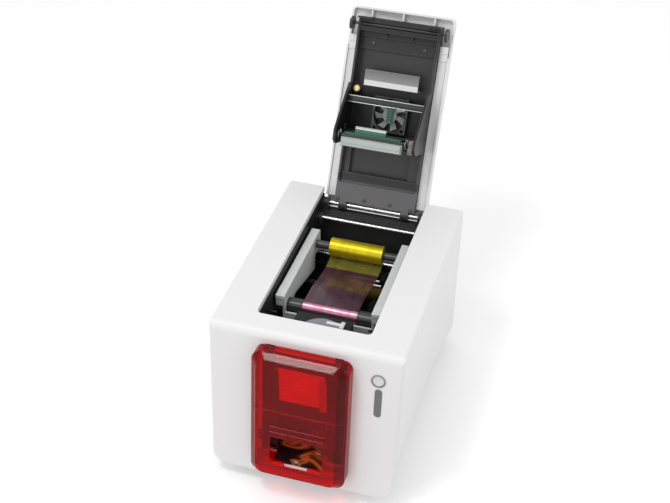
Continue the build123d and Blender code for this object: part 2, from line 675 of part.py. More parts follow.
def feeder_cover():
    cover = (hood_solid(0, 0.3) - hood_solid(hood_wall, -8)) & above_split(hood_gap)
    edge = slab(-hood_half - 1, hood_half + 1, -cover_pin_drop, -cover_pin_drop + 4, -1, cover_pin_out)
    cover -= edge - bar_x(-cover_pin_drop, cover_pin_out, cover_corner, -hood_half - 1, hood_half + 1)
    lug_x0 = cover_ear_inner + 3.0
    lug = slab(lug_x0, lug_x0 + cover_lug, -cover_pin_drop - cover_corner, -cover_pin_drop + 1.0,
               cover_pin_out, hood_straight)
    lug += bar_x(-cover_pin_drop, cover_pin_out, cover_corner, lug_x0, lug_x0 + cover_lug)
    lug -= slab(lug_x0 - 1, lug_x0 + cover_lug + 1, -cover_pin_drop + cover_corner, 5, -5, 30)
    cover += lug + mirrored(lug)
    bore = bar_x(-cover_pin_drop, cover_pin_out, cover_pin_radius + running_gap, lug_x0 - 2, lug_x0 + cover_lug + 1)
    bore += slab(cover_ear_inner - 0.4, cover_ear_inner + 3.0, -cover_pin_drop - 3, -hood_top_drop + 1, -1,
                 cover_pin_out + cover_ear_half + 0.4)
    return on_panel(cover - bore - mirrored(bore))


def output_hopper():
    hopper = (hood_solid(0, 0) - hood_solid(hood_wall, -8)) - above_split(0)
    window = slab(-window_half, window_half, -window_foot_drop, -window_top_drop, 10, 30)
    window += slab(-notch_half, notch_half, -notch_foot_drop, -window_foot_drop + 2, 10, 30)
    hopper -= window
    for drop in (99.0, 106.0):
        hopper -= slab(-29, 29, -drop - 1.2, -drop + 1.2, hood_depth - 1.0, hood_depth + 1)
    hook = slab(41.4, 43.8, -130, -120, -2.3, 6) + slab(41.4, 49.5, -130, -120, 3.6, 6)
    hopper = on_panel(hopper + hook + mirrored(hook))
    shelf = chute_block(front_foot_y - 20, front_foot_y + 20, 2.5, 0, hood_half - 2)
    shelf = shelf & on_panel(hood_solid(1.0, 0.4))
    return hopper + shelf


write("feeder_cover", feeder_cover())
write("output_hopper", output_hopper())

# ---- ribbon cartridge, spools and film ------------------------------------------------------------
cartridge_plate = 2.5
rail_rear_y, rail_front_y = 83.0, -43.0
rail_front_top, rail_rear_top = 177.4, 175.3
grip_length, grip_top, grip_foot = 18.0, 178.0, 163.0
rear_tie_z0, rear_tie_z1 = 147.5, 154.0     # cross strips that join the two side plates
front_tie_z0, front_tie_z1 = 146.0, 155.0
tie_thickness = 2.4


def cartridge_frame():
    side_x = rail_inner + cartridge_plate
    rail_start = rail_front_y + 7
    rail = prism_x([(rail_start, cartridge_seat_z, 0), (rail_start, rail_front_top, 0),
                    (rail_rear_y, rail_rear_top, 2), (rail_rear_y, cartridge_seat_z, 0)], rail_inner, rail_outer)
    grip_end = rail_front_y + grip_length
    grip = prism_x([(rail_front_y, grip_foot, 2), (rail_front_y, grip_top, 3), (grip_end, grip_top, 3),
                    (grip_end, grip_foot, 2)], rail_inner, rail_outer)
    plate_front, plate_high = rail_front_y + 1, cartridge_seat_z + 2.5
    side = prism_x([(plate_front, plate_high, 0), (plate_front, front_tie_z0 - 2, 3), (-30, front_tie_z0 - 3, 3),
                    (-24, 150, 3), (-5.5, 154, 4), (61, 134.6, 3), (63, 153, 3), (rail_rear_y - 6, 153, 3),
                    (rail_rear_y - 4, rear_tie_z0, 1), (rail_rear_y, rear_tie_z0, 1),
                    (rail_rear_y, plate_high, 0)], rail_inner, side_x)
    half = rail + grip + side
    half -= bar_x(supply_y, supply_z, spool_stub_radius + running_gap, rail_inner - 1, side_x + 1)
    half -= bar_x(takeup_y, takeup_z, spool_stub_radius + running_gap, rail_inner - 1, side_x + 1)
    frame = half + mirrored(half)
    frame += slab(-side_x, side_x, rail_rear_y - tie_thickness, rail_rear_y, rear_tie_z0, rear_tie_z1)
    return frame + slab(-side_x, side_x, plate_front, plate_front + tie_thickness, front_tie_z0, front_tie_z1)


def spool(y, z, flange_radius):
    """Plastic core: two hubs with stubs, one flange each, joined by a thin tube under the film."""
    shape = bar_x(y, z, 5.0, -film_half - 2, film_half + 2)
    end = bar_x(y, z, flange_radius, film_half + 0.4, rail_inner - 0.5)
    end += bar_x(y, z, spool_stub_radius, rail_inner - 3, rail_inner + cartridge_plate + 0.5)
    return shape + end + mirrored(end)


def film_roll(y, z, radius):
    return bar_x(y, z, radius, -film_half, film_half) - bar_x(y, z, 5.0, -film_half - 1, film_half + 1)


def touch_point(py, pz, y, z, radius, side):
    """Point where a line from (py, pz) touches a circle."""
    distance = math.hypot(py - y, pz - z)
    angle = math.atan2(pz - z, py - y) + side * math.acos(radius / distance)
    return y + radius * math.cos(angle), z + radius * math.sin(angle)


def film(points):
    """Thin sheet along (y, z) points."""
    half = film_thickness / 2
    upper, lower = [], []
    for i, (y, z) in enumerate(points):
        y0, z0 = points[max(i - 1, 0)]
        y1, z1 = points[min(i + 1, len(points) - 1)]
        run = math.hypot(y1 - y0, z1 - z0)
        dy, dz = -(z1 - z0) / run * half, (y1 - y0) / run * half
        upper.append((y + dy, z + dz, 0))
        lower.append((y - dy, z - dz, 0))
    return prism_x(upper + lower[::-1], -film_half, film_half)


film_off = film_thickness / 2 + 0.08
write("cartridge_frame", cartridge_frame())
write("supply_spool", spool(supply_y, supply_z, spool_stub_radius + 1.5))
write("takeup_spool", spool(takeup_y, takeup_z, core_radius))
write("supply_film_roll", film_roll(supply_y, supply_z, supply_radius))
write("takeup_film_roll", film_roll(takeup_y, takeup_z, takeup_radius))
film_leave = touch_point(film_dip_y, film_dip_z, supply_y, supply_z, supply_radius + film_off, 1)
film_meet = touch_point(-3.0, 164.0, takeup_y, takeup_z, takeup_radius + film_off, 1)
write("film_rear", film([(film_dip_y + 0.3, film_dip_z + 0.04), film_leave]))
write("film_front", film([film_meet, (-3.0, 164.0), (22.0, 157.0), (film_dip_y, film_dip_z)]))

# ---- lid, drawn closed and then swung open -----------------------------------------------------------
frame_half = 46.9
frame_side = 2.4
frame_root_s = 4.0                    # distances from the hinge
frame_tip_s = latch_reach + 8.0
cheek_outer = frame_half - 0.3
cheek_inner = cheek_outer - frame_side
cheek_s0, cheek_s1 = 73.0, 140.0
cheek_depth = 52.0
back_n0, back_n1 = -14.0, -11.5       # the frame's back plate, as depths below the hinge axis
side_depth, side_depth_front = 3.0, 5.0
housing_s0, housing_depth = latch_reach - 7.0, 2.9      # walls each side of the lock bar
housing_wall = 4.6
window_s0, window_s1 = 38.0, 68.0     # sunk panel near the hinge
window_x0, window_x1 = -37.0, 32.5
knuckle_x1 = frame_half - 5.9
knuckle_width, knuckle_radius = 9.0, 6.0


def opened(shape):
    return Pos(0, hinge_y, hinge_z) * Rot(-lid_open_angle, 0, 0) * Pos(0, -hinge_y, -hinge_z) * shape


def lid_slab(x0, x1, s0, s1, n0, n1):
    """Block in lid measures: s from the hinge towards the front, n below the hinge axis."""
    return slab(x0, x1, hinge_y - s1, hinge_y - s0, hinge_z - n1, hinge_z - n0)


def lid_bar(s, n, radius, x0, x1):
    return bar_x(hinge_y - s, hinge_z - n, radius, x0, x1)


def lid_prism(points, x0, x1):
    """Outline of (s, n, radius) points run along X."""
    return prism_x([(hinge_y - s, hinge_z - n, radius) for s, n, radius in points], x0, x1)


def crowned(half, edge_z, crown_z, low_z, y0, y1):
    """Block under an arched top that is edge_z high at x = half; it is drawn 5 mm wider each side."""
    wide = half + 5
    foot_z = crown_z - (crown_z - edge_z) * (wide / half) ** 2
    edges = [ThreePointArc((-wide, foot_z), (0, crown_z), (wide, foot_z)),
             Polyline((wide, foot_z), (wide, low_z), (-wide, low_z), (-wide, foot_z))]
    return extrude(Plane.XZ.offset(-y1) * make_face(edges), y1 - y0)


def lid_plan(half, front, back, corner):
    plan = outline([(-half, front, corner), (half, front, corner), (half, back, 0), (-half, back, 0)])
    return Pos(0, 0, 150) * extrude(plan, 60)


def lid_shell():
    front = opening_front_y + 0.8
    inner_half = lid_half - lid_wall
    shell = crowned(lid_half, lid_edge_z, lid_crown, lid_skirt_z, front, rear_y)
    shell = shell & lid_plan(lid_half, front, rear_y, lid_corner)
    hollow = crowned(inner_half, lid_edge_z - lid_wall, lid_crown - lid_wall, lid_skirt_z - 5,
                     front + lid_wall, rear_y - lid_wall)
    shell -= hollow & lid_plan(inner_half, front + lid_wall, rear_y - lid_wall, lid_corner - lid_wall)
    shell -= slab(-80, 80, front - 5, hinge_y - lid_nose_reach, lid_skirt_z - 5, lid_nose_z)
    shell -= slab(-80, 80, hinge_y - 8, rear_y + 5, lid_skirt_z - 5, 188)
    for x in (-36, 0, 36):
        shell += lid_slab(x - 1, x + 1, frame_tip_s + 0.4, lid_tip_reach - 1.6, -17, -9)
    for s in (60, 120, 180):
        shell += lid_slab(-45, 45, s, s + 2, -17.2, back_n0)
    return shell


def lid_frame():
    """Dark inner frame: back plate, walls, cheeks that carry the head, lock bar housing and hinge knuckles."""
    frame = lid_slab(-frame_half, frame_half, frame_root_s, frame_tip_s, back_n0, back_n1)
    wall_x = frame_half - frame_side
    side = lid_slab(wall_x, frame_half, frame_root_s, frame_tip_s, back_n0, side_depth)
    side += lid_slab(wall_x, frame_half, cheek_s0 + 1, frame_tip_s, back_n0, side_depth_front)
    cheek = lid_prism([(cheek_s0, -12, 0), (cheek_s0, cheek_depth - 8, 3), (cheek_s0 + 5, cheek_depth, 4),
                       (cheek_s0 + 17, cheek_depth, 4), (cheek_s1 - 16, cheek_depth / 2, 6), (cheek_s1, 14, 4),
                       (cheek_s1, -12, 0)], cheek_inner, cheek_outer)
    knuckle_x0 = knuckle_x1 - knuckle_width
    knuckle = lid_bar(0, 0, knuckle_radius, knuckle_x0, knuckle_x1)
    knuckle += lid_slab(knuckle_x0, knuckle_x1, 0, knuckle_radius, -3, 3)
    ledge = lid_slab(wall_x - 13, frame_half, frame_tip_s - 2, frame_tip_s, back_n0, 12)
    for piece in (side, cheek, ledge, knuckle):
        frame += piece + mirrored(piece)
    for s0, s1, n1 in ((frame_root_s, frame_root_s + 2, side_depth), (window_s0 - 2, window_s0, -1.5),
                       (window_s1, window_s1 + 3, -5), (84, 86, -1),
                       (housing_s0, housing_s0 + housing_wall, housing_depth),
                       (frame_tip_s - housing_wall - 1, frame_tip_s, housing_depth)):
        frame += lid_slab(-frame_half, frame_half, s0, s1, back_n0, n1)
    frame += lid_slab(-frame_half, frame_half, frame_root_s, 26, 0.6, side_depth)
    frame += lid_slab(-frame_half, frame_half, 24, 26, back_n0, side_depth)
    frame += lid_slab(-frame_half, frame_half, 26, window_s0, -4, -1.5)
    frame += lid_slab(-frame_half, window_x0, window_s0, window_s1, back_n0, -5)
    frame += lid_slab(window_x1, frame_half, window_s0, window_s1, back_n0, -5)
    frame += lid_slab(-wall_x, wall_x, housing_s0 - 20, housing_s0 - 6, back_n1, -8)
    frame += lid_slab(-wall_x, wall_x, housing_s0 - 6, housing_s0, back_n1, -5)
    for x in (-15, 15):
        frame += lid_slab(x - 1, x + 1, housing_s0 - 6, housing_s0, -5, -2)
    bore_x1 = knuckle_x1 + 2
    hinge_bore = lid_bar(0, 0, hinge_rod_radius + running_gap, knuckle_x0 - 2, bore_x1)
    frame -= hinge_bore + mirrored(hinge_bore)
    for s, n, radius in ((latch_reach, latch_depth, latch_radius), (head_pivot_s, head_pivot_n, head_pivot_radius)):
        frame -= lid_bar(s, n, radius + running_gap, -50, 50)
    for s in (lid_gear_s, lid_gear_s + lid_gear_gap):
        frame += lid_bar(s, lid_gear_n, lid_pin_radius, lid_gear_x0, cheek_outer - 1)
    return frame


latch_radius = 1.6
head_pivot_s, head_pivot_n, head_pivot_radius = 92.0, 16.0, 1.5
lid_module = 0.5
lid_big_teeth, lid_small_teeth = 18, 12
lid_gear_gap = lid_module * (lid_big_teeth + lid_small_teeth) / 2
lid_gear_s, lid_gear_n = 78.5, 47.0
lid_gear_x1 = cheek_inner - 1.2
lid_gear_x0 = lid_gear_x1 - 5.0
lid_pin_radius = 1.5
hook_x0, hook_x1 = 52.6, 55.6
hook_inner, hook_outer = 7.6, 10.2


def latch_hook():
    """Ring on the lock bar with a finger that swings under the catch pin."""
    shape = lid_bar(latch_reach, latch_depth, 7.0, hook_x0, hook_x1)
    finger = lid_bar(latch_reach, latch_depth, hook_outer, hook_x0, hook_x1)
    finger -= lid_bar(latch_reach, latch_depth, hook_inner, hook_x0 - 1, hook_x1 + 1)
    web = lid_prism([(latch_reach, latch_depth + 5, 0), (latch_reach + 4, latch_depth + 9.5, 0),
                     (latch_reach, latch_depth + 10, 0), (latch_reach - 2, latch_depth + 5, 0)], hook_x0, hook_x1)
    keep = lid_prism([(latch_reach, latch_depth, 0), (latch_reach + 9, latch_depth + 20, 0),
                      (latch_reach - 15.5, latch_depth + 14.4, 0)], hook_x0 - 1, hook_x1 + 1)
    return shape + (finger & keep) + web


lock_bar = lid_bar(latch_reach, latch_depth, latch_radius, -hook_x1, hook_x1)
lock_bar += latch_hook() + mirrored(latch_hook())
write("lid_shell", opened(lid_shell()))
write("lid_frame", opened(lid_frame()))
write("lid_lock_bar", opened(lock_bar))

deflector_half, deflector_s0, deflector_s1, deflector_n = 31.0, 139.0, 157.0, 6.0
deflector = lid_slab(-deflector_half, deflector_half, deflector_s0, deflector_s1, deflector_n - 1.2, deflector_n)
deflector += lid_slab(-deflector_half, deflector_half, deflector_s0, deflector_s0 + 1.2, back_n1, deflector_n)
write("film_deflector", opened(deflector))
channel_half = cheek_inner
channel_s0, channel_s1, channel_n0, channel_n1, channel_sheet = 119.0, 127.0, 12.0, 19.0, 1.2
channel = lid_slab(-channel_half, channel_half, channel_s0, channel_s1, channel_n0, channel_n0 + channel_sheet)
for s0 in (channel_s0, channel_s1 - channel_sheet):
    channel += lid_slab(-channel_half, channel_half, s0, s0 + channel_sheet, channel_n0, channel_n1)
write("cross_channel", opened(channel))
stud_x, stud_s = 7.9 - frame_half, 134.0
write("brass_stud", opened(Pos(stud_x, hinge_y - stud_s, hinge_z + 3.25) * Cylinder(2.6, 16.5)
                           + Pos(stud_x, hinge_y - stud_s, hinge_z - 2.5) * Cylinder(1.6, 5)))

fan_x, fan_s, fan_half = 2.0, 109.0, 20.0
fan_n0, fan_n1 = back_n1, back_n1 + 10.0
fan_place = Pos(fan_x, hinge_y - fan_s, hinge_z - (fan_n0 + fan_n1) / 2)
fan_bore, fan_depth = 18.6, fan_n1 - fan_n0
fan_frame = Box(2 * fan_half, 2 * fan_half, fan_depth) - Cylinder(fan_bore, fan_depth + 2)
for sx in (-1, 1):
    for sy in (-1, 1):
        fan_frame -= Pos(sx * (fan_half - 4), sy * (fan_half - 4), 0) * Cylinder(1.6, fan_depth + 2)
spider = Cylinder(8.5, 1.6) + Box(2 * fan_half - 2, 2, 1.6) + Box(2, 2 * fan_half - 2, 1.6)
fan_frame += Pos(0, 0, fan_depth / 2 - 0.8) * spider
fan_frame += Cylinder(1.5, fan_depth - 0.2)
write("fan_housing", opened(fan_place * fan_frame))
rotor = Cylinder(8.0, 7.0)
for i in range(7):
    blade = Pos(12.5, 0, 0) * Rot(32, 0, 0) * Box(11, 5.5, 1.0)
    rotor += Rot(0, 0, i * 360 / 7) * blade
rotor = Pos(0, 0, -0.8) * (rotor & Cylinder(fan_bore - 0.8, 7.0))
write("fan_rotor", opened(fan_place * (rotor - Cylinder(1.5 + running_gap, 12))))

head_x0, head_x1 = -38.5, 30.5        # the printing edge sits left of the middle
head_n0, head_n1 = 42.0, 45.6
bracket_sheet = 1.6
bracket_s = 84.0
arm_x = cheek_inner - 1.7
bracket = lid_slab(head_x0, head_x1 + 4, bracket_s, bracket_s + bracket_sheet, 12, head_n0)
bracket += lid_slab(head_x0, head_x1, 72, bracket_s + bracket_sheet, head_n0 - bracket_sheet, head_n0)
for x in (-arm_x, arm_x - bracket_sheet):
    bracket += lid_slab(x, x + bracket_sheet, 82, 95, 12, 24)
bracket += lid_slab(-arm_x, arm_x, bracket_s, bracket_s + bracket_sheet, 12, 24)
pivot_pin = lid_bar(head_pivot_s, head_pivot_n, head_pivot_radius, arm_x - 1, cheek_outer)
bracket += pivot_pin + mirrored(pivot_pin)
write("head_bracket", opened(bracket))
print_head = lid_slab(head_x0, head_x1, 72, 82, head_n0, head_n1)
print_head += lid_slab(head_x0 + 1, head_x1 - 1, 73, 81, head_n1, 49)
print_head += lid_slab(head_x0 + 2, head_x1 - 2, 76, 78, 49, 49.9)
write("print_head", opened(print_head))
board_s = bracket_s + bracket_sheet
head_board = lid_slab(-37, 27, board_s, board_s + 1.6, 25, 40)
head_board += lid_slab(-26, 9, board_s + 1.6, board_s + 5.9, 32, 37)
write("head_board", opened(head_board))

big_gear = gear_x(lid_big_teeth, 180.0, hinge_y - lid_gear_s, hinge_z - lid_gear_n,
                  lid_gear_x0 + 0.5, lid_gear_x1, lid_pin_radius + running_gap, lid_module)
small_gear = gear_x(lid_small_teeth, mesh_phase(180.0, 180.0, lid_big_teeth, lid_small_teeth),
                    hinge_y - lid_gear_s - lid_gear_gap, hinge_z - lid_gear_n,
                    lid_gear_x0 + 0.5, lid_gear_x1, lid_pin_radius + running_gap, lid_module)
write("lid_gear_large", opened(big_gear))
write("lid_gear_small", opened(small_gear))

# ---- rear panel and electronics ---------------------------------------------------------------------------
panel_y0, panel_y1 = rear_y - wall, rear_y - 0.3
rear_panel_top = 160.0
socket_x = -plate_outer - 16.0
socket_z0, socket_z1 = 60.0, 76.0     # network socket, data socket, power inlet and switch, by height
data_z0, data_z1 = 87.5, 98.5
inlet_z = 44.0
switch_z = 48.0
inlet_radius = 6.0
screw_x = half_width - 14.5


def inner_half(height):
    return half_width - side_taper * (case_top - height) / panel_rise - wall - casing_gap


switch_x = (plate_outer + inner_half(switch_z)) / 2


def rear_panel():
    high = case_top - wall - casing_gap
    inner = opening_half + 2.4
    low_half = half_width - 18.5
    points = [(-low_half, 7, 6), (low_half, 7, 6), (inner_half(24) - 1, 22, 2), (inner_half(24), 26, 0),
              (inner_half(high), high, 2),
              (inner, high, 1), (inner, rear_panel_top, 2), (-inner, rear_panel_top, 2), (-inner, high, 1),
              (-inner_half(high), high, 2), (-inner_half(24), 26, 0), (-inner_half(24) + 1, 22, 2)]
    plate = prism_y(points, panel_y0, panel_y1)
    for z in range(60, 130, 7):
        plate -= slab(-28, 28, panel_y0 - 1, panel_y1 + 1, z, z + 3)
    sockets = ((8.5, socket_z0 - 0.5, socket_z1 + 0.5), (6.5, data_z0 - 0.5, data_z1 + 0.5), (3.5, 122, 125))
    for half, z0, z1 in sockets:
        plate -= slab(socket_x - half, socket_x + half, panel_y0 - 1, panel_y1 + 1, z0, z1)
    plate -= bar_y(socket_x, inlet_z, inlet_radius + 0.2, panel_y0 - 1, panel_y1 + 1)
    plate -= slab(switch_x - 11, switch_x + 11, panel_y0 - 1, panel_y1 + 1, switch_z - 7.5, switch_z + 7.5)
    return plate


write("rear_panel", rear_panel())
board_x = socket_x + 11.0
board = slab(board_x, board_x + 1.6, -40, 132, 34, 140)
for y, z, depth, height in ((60, 60, 4, 24), (20, 100, 3, 20), (90, 110, 3, 16), (-10, 55, 8, 18)):
    board += slab(board_x - depth, board_x, y, y + 24, z, z + height)
for y in (-32, 124):
    for z in (42, 132):
        board += bar_x(y, z, 3.0, board_x + 1.6, -plate_outer)
write("main_board", board)
sockets = []
for half, z0, z1, rim_width in ((8.0, socket_z0, socket_z1, 2.0), (6.0, data_z0, data_z1, 1.6)):
    socket = slab(socket_x - half, socket_x + half, 122, panel_y1, z0, z1)
    socket += slab(socket_x, board_x, 122, panel_y0 - 0.5, z0, z1)
    socket -= slab(socket_x - half + rim_width, socket_x + half - rim_width, 128, 145, z0 + rim_width, z1 - rim_width)
    sockets.append(socket)
write("data_sockets", *sockets)
jack = bar_y(socket_x, inlet_z, inlet_radius, 126, panel_y1)
jack += slab(socket_x, board_x, 126, 136, inlet_z - 4, inlet_z + 4)
jack -= bar_y(socket_x, inlet_z, 3.4, 130, 145)
write("power_inlet", jack + bar_y(socket_x, inlet_z, 1.0, 128, 138))
switch_pivot_y = panel_y1 - 1.5
switch_body = slab(switch_x - 10.7, switch_x + 10.7, 124, panel_y1, switch_z - 7.2, switch_z + 7.2)
switch_body += slab(switch_x - 12.5, switch_x + 12.5, panel_y1, panel_y1 + 1.2, switch_z - 9, switch_z + 9)
switch_body -= slab(switch_x - 8.8, switch_x + 8.8, 127, 145, switch_z - 5.5, switch_z + 5.5)
switch_body -= bar_z(switch_x, switch_pivot_y, 1.0 + running_gap, switch_z - 6.6, switch_z + 6.6)
write("switch_body", switch_body)
rocker = prism_y([(-7.9, 0, 0.5), (-7.9, 2.5, 0.5), (0, 1.4, 20.0), (7.9, 4.6, 0.5), (7.9, 0, 0.5),
                  (5, -4, 0.5), (-5, -4, 0.5)], -5.0, 5.0)
rocker = Pos(switch_x, switch_pivot_y, switch_z) * Rot(-90, 0, 0) * rocker
write("power_rocker", rocker + bar_z(switch_x, switch_pivot_y, 1.0, switch_z - 6.5, switch_z + 6.5))
screws = []
for x in (-screw_x, screw_x):
    for z in (30, 165):
        screws.append(fillet(bar_y(x, z, 3.2, panel_y1, panel_y1 + 1.6).edges().group_by(Axis.Y)[-1], 0.8))
write("panel_screws", *screws)
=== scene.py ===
import bpy
import json
import math
from mathutils import Vector, Matrix


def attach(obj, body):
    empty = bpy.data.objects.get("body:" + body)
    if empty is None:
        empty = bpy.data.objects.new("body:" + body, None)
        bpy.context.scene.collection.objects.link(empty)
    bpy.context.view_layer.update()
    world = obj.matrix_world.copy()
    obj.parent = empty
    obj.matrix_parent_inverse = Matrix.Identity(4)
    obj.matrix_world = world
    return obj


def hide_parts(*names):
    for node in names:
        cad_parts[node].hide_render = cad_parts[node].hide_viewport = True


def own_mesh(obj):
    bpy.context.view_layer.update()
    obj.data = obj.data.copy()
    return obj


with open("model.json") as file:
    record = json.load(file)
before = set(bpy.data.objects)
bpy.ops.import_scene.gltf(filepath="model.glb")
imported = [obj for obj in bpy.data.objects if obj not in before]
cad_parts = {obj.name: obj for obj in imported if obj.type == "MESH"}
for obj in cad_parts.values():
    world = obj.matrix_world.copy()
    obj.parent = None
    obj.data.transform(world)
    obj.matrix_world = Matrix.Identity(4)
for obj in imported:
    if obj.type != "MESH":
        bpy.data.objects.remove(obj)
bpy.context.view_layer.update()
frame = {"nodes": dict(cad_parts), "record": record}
nodes = frame["nodes"]
print("frame loaded:", len(nodes), "nodes")

scene = bpy.context.scene
scene.view_settings.view_transform = "Standard"

# camera, fitted to the case's edges
cameraSetup = {
    "place": (0.30139, -1.05100, 1.03637),
    "tilt": 51.909,      # degrees up from looking straight down
    "turn": 17.006,
    "lens": 68.406,
}
bpy.ops.object.camera_add(location=cameraSetup["place"],
                          rotation=(math.radians(cameraSetup["tilt"]), 0, math.radians(cameraSetup["turn"])))
camera = bpy.context.object
camera.data.lens = cameraSetup["lens"]
camera.data.sensor_width = 36
camera.data.clip_start = 0.05
camera.data.clip_end = 50
scene.camera = camera

# drawing frames: lid is (x, away from the hinge, below the lid), panel is (x, up the panel, out of it)
midY = 48.98859          # the source's drawing y of the origin, millimetres


def fromDrawing(y, z):
    return Vector((0, (y - midY) / 1000, z / 1000))


lidAlong = Vector((0, 0.469472, 0.882948))
lidBelow = Vector((0, -0.882948, 0.469472))
panelLean = math.radians(7.157)
panelUp = Vector((0, math.sin(panelLean), math.cos(panelLean)))
panelOut = Vector((0, -math.cos(panelLean), math.sin(panelLean)))


def axesAt(origin, second, third):
    return Matrix.LocRotScale(origin, Matrix(((1, second.x, third.x), (0, second.y, third.y),
                                              (0, second.z, third.z))), None)


onLid = axesAt(fromDrawing(134.7, 175.8), lidAlong, lidBelow)
onPanel = axesAt(fromDrawing(-118.1, 192.4), panelUp, panelOut)
onTable = Matrix.Translation(fromDrawing(0, 0))

# ---- materials


def startMaterial(name, colour, roughness, metallic=0.0):
    material = bpy.data.materials.new(name)
    material.use_nodes = True
    shader = material.node_tree.nodes["Principled BSDF"]
    shader.inputs["Base Color"].default_value = (*colour, 1)
    shader.inputs["Roughness"].default_value = roughness
    shader.inputs["Metallic"].default_value = metallic
    return material, material.node_tree, shader


def addNode(tree, kind, **settings):
    node = tree.nodes.new(kind)
    for key, value in settings.items():
        setattr(node, key, value)
    return node


def objectNoise(tree, scale, detail=3.0, stretch=(1, 1, 1)):
    coord = addNode(tree, "ShaderNodeTexCoord")
    mapping = addNode(tree, "ShaderNodeMapping")
    mapping.inputs["Scale"].default_value = stretch
    noise = addNode(tree, "ShaderNodeTexNoise")
    noise.inputs["Scale"].default_value = scale
    noise.inputs["Detail"].default_value = detail
    tree.links.new(coord.outputs["Object"], mapping.inputs["Vector"])
    tree.links.new(mapping.outputs["Vector"], noise.inputs["Vector"])
    return noise


def spread(tree, source, low, high, start=0.3, end=0.7):
    span = addNode(tree, "ShaderNodeMapRange")
    span.inputs["From Min"].default_value = start
    span.inputs["From Max"].default_value = end
    span.inputs["To Min"].default_value = low
    span.inputs["To Max"].default_value = high
    tree.links.new(source.outputs[0], span.inputs["Value"])
    return span


def tint(tree, source, first, second, start=0.35, end=0.65):
    ramp = addNode(tree, "ShaderNodeValToRGB")
    ramp.color_ramp.elements[0].position = start
    ramp.color_ramp.elements[1].position = end
    ramp.color_ramp.elements[0].color = (*first, 1)
    ramp.color_ramp.elements[1].color = (*second, 1)
    tree.links.new(source.outputs[0], ramp.inputs["Fac"])
    return ramp


def alongLine(tree, direction, start, end):
    # 0 at start and 1 at end, measured along direction in metres
    coord = addNode(tree, "ShaderNodeTexCoord")
    dot = addNode(tree, "ShaderNodeVectorMath", operation="DOT_PRODUCT")
    dot.inputs[1].default_value = direction
    span = addNode(tree, "ShaderNodeMapRange")
    span.inputs["From Min"].default_value = start
    span.inputs["From Max"].default_value = end
    tree.links.new(coord.outputs["Object"], dot.inputs[0])
    tree.links.new(dot.outputs["Value"], span.inputs["Value"])
    return span


def softEdges(tree, shader, height, radius, strength=0.3, distance=0.0001):
    # fine grain over edges that catch the light as slightly rounded ones
    bevel = addNode(tree, "ShaderNodeBevel", samples=4)
    bevel.inputs["Radius"].default_value = radius
    bump = addNode(tree, "ShaderNodeBump")
    bump.inputs["Strength"].default_value = strength
    bump.inputs["Distance"].default_value = distance
    tree.links.new(height.outputs[0], bump.inputs["Height"])
    tree.links.new(bevel.outputs["Normal"], bump.inputs["Normal"])
    tree.links.new(bump.outputs["Normal"], shader.inputs["Normal"])


def mouldedPlastic(name, colour, shade, roughness, grain, radius=0.0004, strength=0.25, gloss=0.5):
    material, tree, shader = startMaterial(name, colour, roughness)
    shader.inputs["Specular IOR Level"].default_value = gloss
    cloud = objectNoise(tree, 9.0, 4.0)
    tree.links.new(tint(tree, cloud, colour, shade).outputs["Color"], shader.inputs["Base Color"])
    fine = objectNoise(tree, grain, 2.0)
    tree.links.new(spread(tree, fine, roughness - 0.05, roughness + 0.07).outputs[0], shader.inputs["Roughness"])
    softEdges(tree, shader, fine, radius, strength)
    return material


def plasticWithPaintedEdgeGlint(name, tones, direction, roughness, grain, edge, gloss=0.25):
    # dark moulding: tones by place along a line, with a painted highlight along its edges, paler where they would
    # catch the light
    material, tree, shader = startMaterial(name, tones[0][1], roughness)
    shader.inputs["Specular IOR Level"].default_value = gloss
    run = alongLine(tree, direction, tones[0][0], tones[-1][0])
    ramp = tint(tree, run, tones[0][1], tones[-1][1], 0.0, 1.0)
    whole = tones[-1][0] - tones[0][0]
    for place, colour in tones[1:-1]:
        stop = ramp.color_ramp.elements.new((place - tones[0][0]) / whole)
        stop.color = (*colour, 1)
    # painted highlight: the colour turns towards the edge colour where the rounded normal leaves the face's normal
    rounded = addNode(tree, "ShaderNodeBevel", samples=6)
    rounded.inputs["Radius"].default_value = 0.0007
    plain = addNode(tree, "ShaderNodeNewGeometry")
    dot = addNode(tree, "ShaderNodeVectorMath", operation="DOT_PRODUCT")
    tree.links.new(rounded.outputs["Normal"], dot.inputs[0])
    tree.links.new(plain.outputs["Normal"], dot.inputs[1])
    paintedGlintMask = addNode(tree, "ShaderNodeMapRange")
    paintedGlintMask.inputs["From Min"].default_value = 0.995
    paintedGlintMask.inputs["From Max"].default_value = 0.80
    tree.links.new(dot.outputs["Value"], paintedGlintMask.inputs["Value"])
    mix = addNode(tree, "ShaderNodeMix", data_type="RGBA")
    mix.inputs["B"].default_value = (*edge, 1)
    tree.links.new(paintedGlintMask.outputs[0], mix.inputs["Factor"])
    tree.links.new(ramp.outputs["Color"], mix.inputs["A"])
    tree.links.new(mix.outputs["Result"], shader.inputs["Base Color"])
    fine = objectNoise(tree, grain, 2.0)
    tree.links.new(spread(tree, fine, roughness - 0.05, roughness + 0.08).outputs[0], shader.inputs["Roughness"])
    softEdges(tree, shader, fine, 0.0005, 0.2)
    return material


def brushedMetal(name, colour, roughness, stretch, radius=0.0003):
    material, tree, shader = startMaterial(name, colour, roughness, 1.0)
    lines = objectNoise(tree, 220.0, 4.0, stretch)
    tree.links.new(spread(tree, lines, roughness - 0.06, roughness + 0.1).outputs[0], shader.inputs["Roughness"])
    darker = tuple(0.86 * c for c in colour)
    tree.links.new(tint(tree, lines, darker, colour).outputs["Color"], shader.inputs["Base Color"])
    softEdges(tree, shader, lines, radius, 0.06)
    return material


